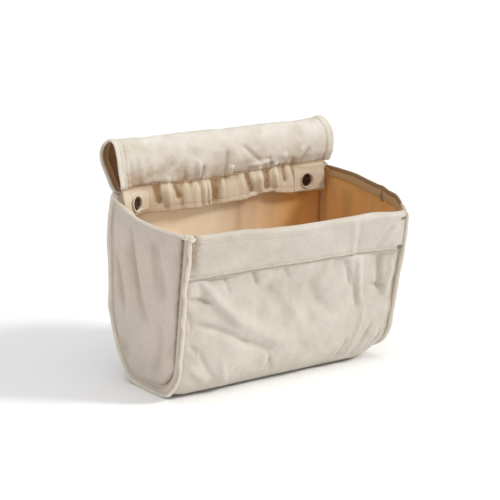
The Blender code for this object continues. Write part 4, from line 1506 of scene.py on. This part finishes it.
def make_eyelet(side, name):
    """A ring of buttonhole stitches round a pin hole, thick on the front."""
    pin = PINS[side]
    wraps, per = 46, 4
    front = float(tab_front(np.array([pin.x]), np.array([pin.z]))[0]) - 1.4 * MM
    back = front + 3.4 * MM
    loose = np.random.default_rng(241 + side).uniform(-0.12, 0.12, wraps)
    n = np.arange(wraps * per)
    angle = 2 * math.pi * n / len(n)
    reach = (2.0 + np.repeat(loose, per)) * MM
    grow = 0.22 * MM * (0.5 + 0.5 * np.abs(np.sin(math.pi * n / per)))
    profile = [
        (PIN_R - 0.05 * MM, front + 1.0 * MM), (PIN_R + 0.1 * MM, front + 0.2 * MM - grow),
        (PIN_R + 0.7 * MM, front - 0.35 * MM - grow), (PIN_R + 1.4 * MM, front - 0.2 * MM - grow),
        (PIN_R + reach, front + 0.4 * MM), (PIN_R + 1.0 * MM, front + 1.0 * MM),
        (PIN_R + 0.75 * MM, front + 1.6 * MM), (PIN_R + 0.75 * MM, back - 1.0 * MM),
        (PIN_R + reach, back - 0.6 * MM), (PIN_R + 1.2 * MM, back + 0.1 * MM + grow),
        (PIN_R + 0.4 * MM, back + 0.1 * MM), (PIN_R, back - 0.8 * MM),
    ]
    r, y = profile_columns(profile, angle)
    x, z = pin.x + r * np.cos(angle)[:, None], pin.z + r * np.sin(angle)[:, None]
    rings = np.stack([x, y, z], -1)
    reach = 1 + 1.2 * MM / PIN_R
    out_x = pin.x + (rings[..., 0] - pin.x) * reach
    out_z = pin.z + (rings[..., 2] - pin.z) * reach
    rings[..., 1] += tab_front(out_x, out_z) - (front + 1.4 * MM)
    n, k = rings.shape[:2]
    j, i = np.meshgrid(np.arange(n), np.arange(k), indexing="ij")
    uv = np.stack([i * 0.7 * MM, j * 0.22 * MM], -1).reshape(-1, 2)
    ring = new_object(f"{name}_eyelet_ring", rings.reshape(-1, 3), ring_quads(n, k, closed=True),
                      [EYELET if side < 0 else DARKER_EYELET], uv)
    edit_mesh(ring, face_outward)
    on_lip(ring, f"{name}_pin_eyelet", bends=False)


# ------------------------------------------------------------------ seam row and tacks


def make_seam_row():
    reach = high("tunnel_seam_thread").x
    x = np.linspace(-reach + 26 * MM, reach - 14 * MM, 520)
    z = SEAM.z + row_height(x) + 0.25 * MM * wander(x, 6, 251)
    depth = seam_puckers(x, np.zeros_like(x))
    curve = np.stack([x, WALL_Y - depth - 0.78 * MM, z], 1)
    row = stitches("tunnel_seam_stitches", curve, (0, -1, 0.1), SEAM_THREAD, 253,
                   wide=0.6 * MM, high=0.22 * MM)
    on_bag(row, "tunnel_seam_thread")


def make_tacks():
    """Bar tacks: a few dark knots of thread where the band's seams end."""
    face = FIN_DEPTH - 1.1 * MM
    for node, side, drop in (("rim_left_tack", -1, 4.5), ("rim_right_tack", 1, 3.0),
                             ("band_left_tack", -1, 36.0), ("band_right_tack", 1, 37.0)):
        far = side > 0
        first = BAND_X - (2.5 if far else 10.5) * MM
        x = np.linspace(first, first + 4.2 * MM, 20)
        tall = 2.2 if node == "band_right_tack" else 1.0 if far else 0.4
        zig = tall * MM * np.where(np.arange(20) % 2, 1, -1)
        d = drop * MM + zig
        proud = 0.9 if far else 0.45
        y, z, ny, nz = U.at(d, face - far_swell(side * x, d) - proud * MM)
        curve = np.stack([side * x, y, z], 1)
        knot = stitches(f"{node}_knot", curve, np.stack([0 * x, -ny, -nz], 1),
                        DARK_THREAD if far else SOFT_THREAD, 261, pitch=1.5 * MM,
                        wide=(1.3 if far else 0.6) * MM, high=0.4 * MM, lean=0.3)
        on_bag(knot, node)


def make_rim_tack():
    """The thick tack of thread that holds the far rim's hem where it was pieced."""
    y0 = -27 * MM
    down = np.linspace(1.6 * MM, 12.5 * MM, 24)
    zig = 0.9 * MM * np.where(np.arange(24) % 2, 1, -1)
    y = y0 + zig + 1.1 * MM * np.sin(down / (4 * MM))
    z = rim_curve(np.full_like(y, y0), 1) - down
    x = np.full_like(y, PANEL_X - CLOTH / 2 - 0.6 * MM)
    curve = np.stack([x, y, z], 1)
    tack = stitches("right_rim_tack_knot", curve, (-1, 0, 0), TACK_THREAD, 281,
                    pitch=1.9 * MM, wide=1.5 * MM, high=1.1 * MM, lean=0.3)
    on_bag(tack)


def make_knot():
    """The near cord's end, turned over the rim and sewn down in a soft lump."""
    base = np.array([-(FIN_IN + FIN_OUT) / 2 + 0.2 * MM, RIM_FRONT + 3.8 * MM,
                     RIM_Z + 1.6 * MM])
    t = math.pi * (np.arange(29)[:, None] + 0.35) / 28.7
    a = 2 * math.pi * np.arange(40) / 40
    d = np.stack([np.sin(t) * np.cos(a), np.sin(t) * np.sin(a), np.cos(t) + 0 * a], -1)
    x, y, z = np.moveaxis(d * 1.5 + 7, -1, 0)
    r = 1 + 0.30 * noise2(x * 1.6, y * 1.6, 273) + 0.30 * noise2(y * 2.2, z * 2.2, 275)
    rings = base + d * r[..., None] * np.array([4.3, 4.6, 2.6]) * MM
    on_bag(tube("left_corner_knot", rings, [EDGE_HIGHLIGHT]))


# ------------------------------------------------------------------ stage


def plain_material(name, colour):
    return Build(name).surface({
        "Base Color": colour, "Roughness": 0.9, "Specular IOR Level": 0.1,
    })


def soft_sun(name, toward, strength, spread, colour):
    """An even light from one side of the sky with soft shadows."""
    data = bpy.data.lights.new(name, "SUN")
    data.energy = strength
    data.angle = math.radians(spread)
    data.color = colour
    link(name, data).rotation_euler = Vector(toward).to_track_quat("Z", "Y").to_euler()


def make_stage():
    half = 6.0
    mesh = bpy.data.meshes.new("floor")
    mesh.from_pydata([(-half, -half, 0), (half, -half, 0), (half, half, 0), (-half, half, 0)], [],
                     [(0, 1, 2, 3)])
    mesh.materials.append(plain_material("floor_white", (0.965, 0.965, 0.97)))
    link("floor", mesh)
    world = bpy.data.worlds.new("studio")
    world.use_nodes = True
    tree = world.node_tree
    background = tree.nodes["Background"]
    background.inputs["Color"].default_value = (0.98, 0.985, 1.0, 1.0)
    background.inputs["Strength"].default_value = 0.44
    white = tree.nodes.new("ShaderNodeBackground")
    white.inputs["Color"].default_value = (1.0, 1.0, 1.0, 1.0)
    rays = tree.nodes.new("ShaderNodeLightPath")
    choice = tree.nodes.new("ShaderNodeMixShader")
    tree.links.new(rays.outputs["Is Camera Ray"], choice.inputs[0])
    tree.links.new(background.outputs[0], choice.inputs[1])
    tree.links.new(white.outputs[0], choice.inputs[2])
    tree.links.new(choice.outputs[0], tree.nodes["World Output"].inputs["Surface"])
    bpy.context.scene.world = world
    soft_sun("key", (1.0, -1.0, 1.0), 1.95, 13, (1.0, 0.985, 0.96))
    soft_sun("top", (-0.1, -0.1, 1.0), 1.0, 60, (1.0, 1.0, 1.0))
    soft_sun("fill", (-1.0, -0.5, 0.5), 0.32, 50, (0.97, 0.98, 1.0))
    scene = bpy.context.scene
    scene.view_settings.view_transform = "Standard"
    scene.view_settings.look = "None"


def make_camera():
    """The viewpoint: 35.5 degrees round to the left and 13 degrees up, through a long lens."""
    turn, tilt = math.radians(35.54), math.radians(13.03)
    distance = 1.540
    aim = Vector((-12.4 * MM, 0, 122.5 * MM))
    forward = Vector((math.sin(turn) * math.cos(tilt), math.cos(turn) * math.cos(tilt),
                      -math.sin(tilt)))
    data = bpy.data.cameras.new("camera")
    data.sensor_width = 36.0
    data.lens = 115.92
    camera = link("camera", data)
    camera.location = aim - forward * distance
    camera.rotation_euler = forward.to_track_quat("-Z", "Y").to_euler()
    bpy.context.scene.camera = camera


sheet = make_sheet()
for side, name in SIDES.items():
    make_end(side, name)
    make_fin(side, name)
    make_rim(side, name)
make_band()
make_liner(*sheet)
make_tunnel()
make_lip()
make_seam_row()
make_tacks()
make_knot()
make_rim_tack()
make_stage()
make_camera()
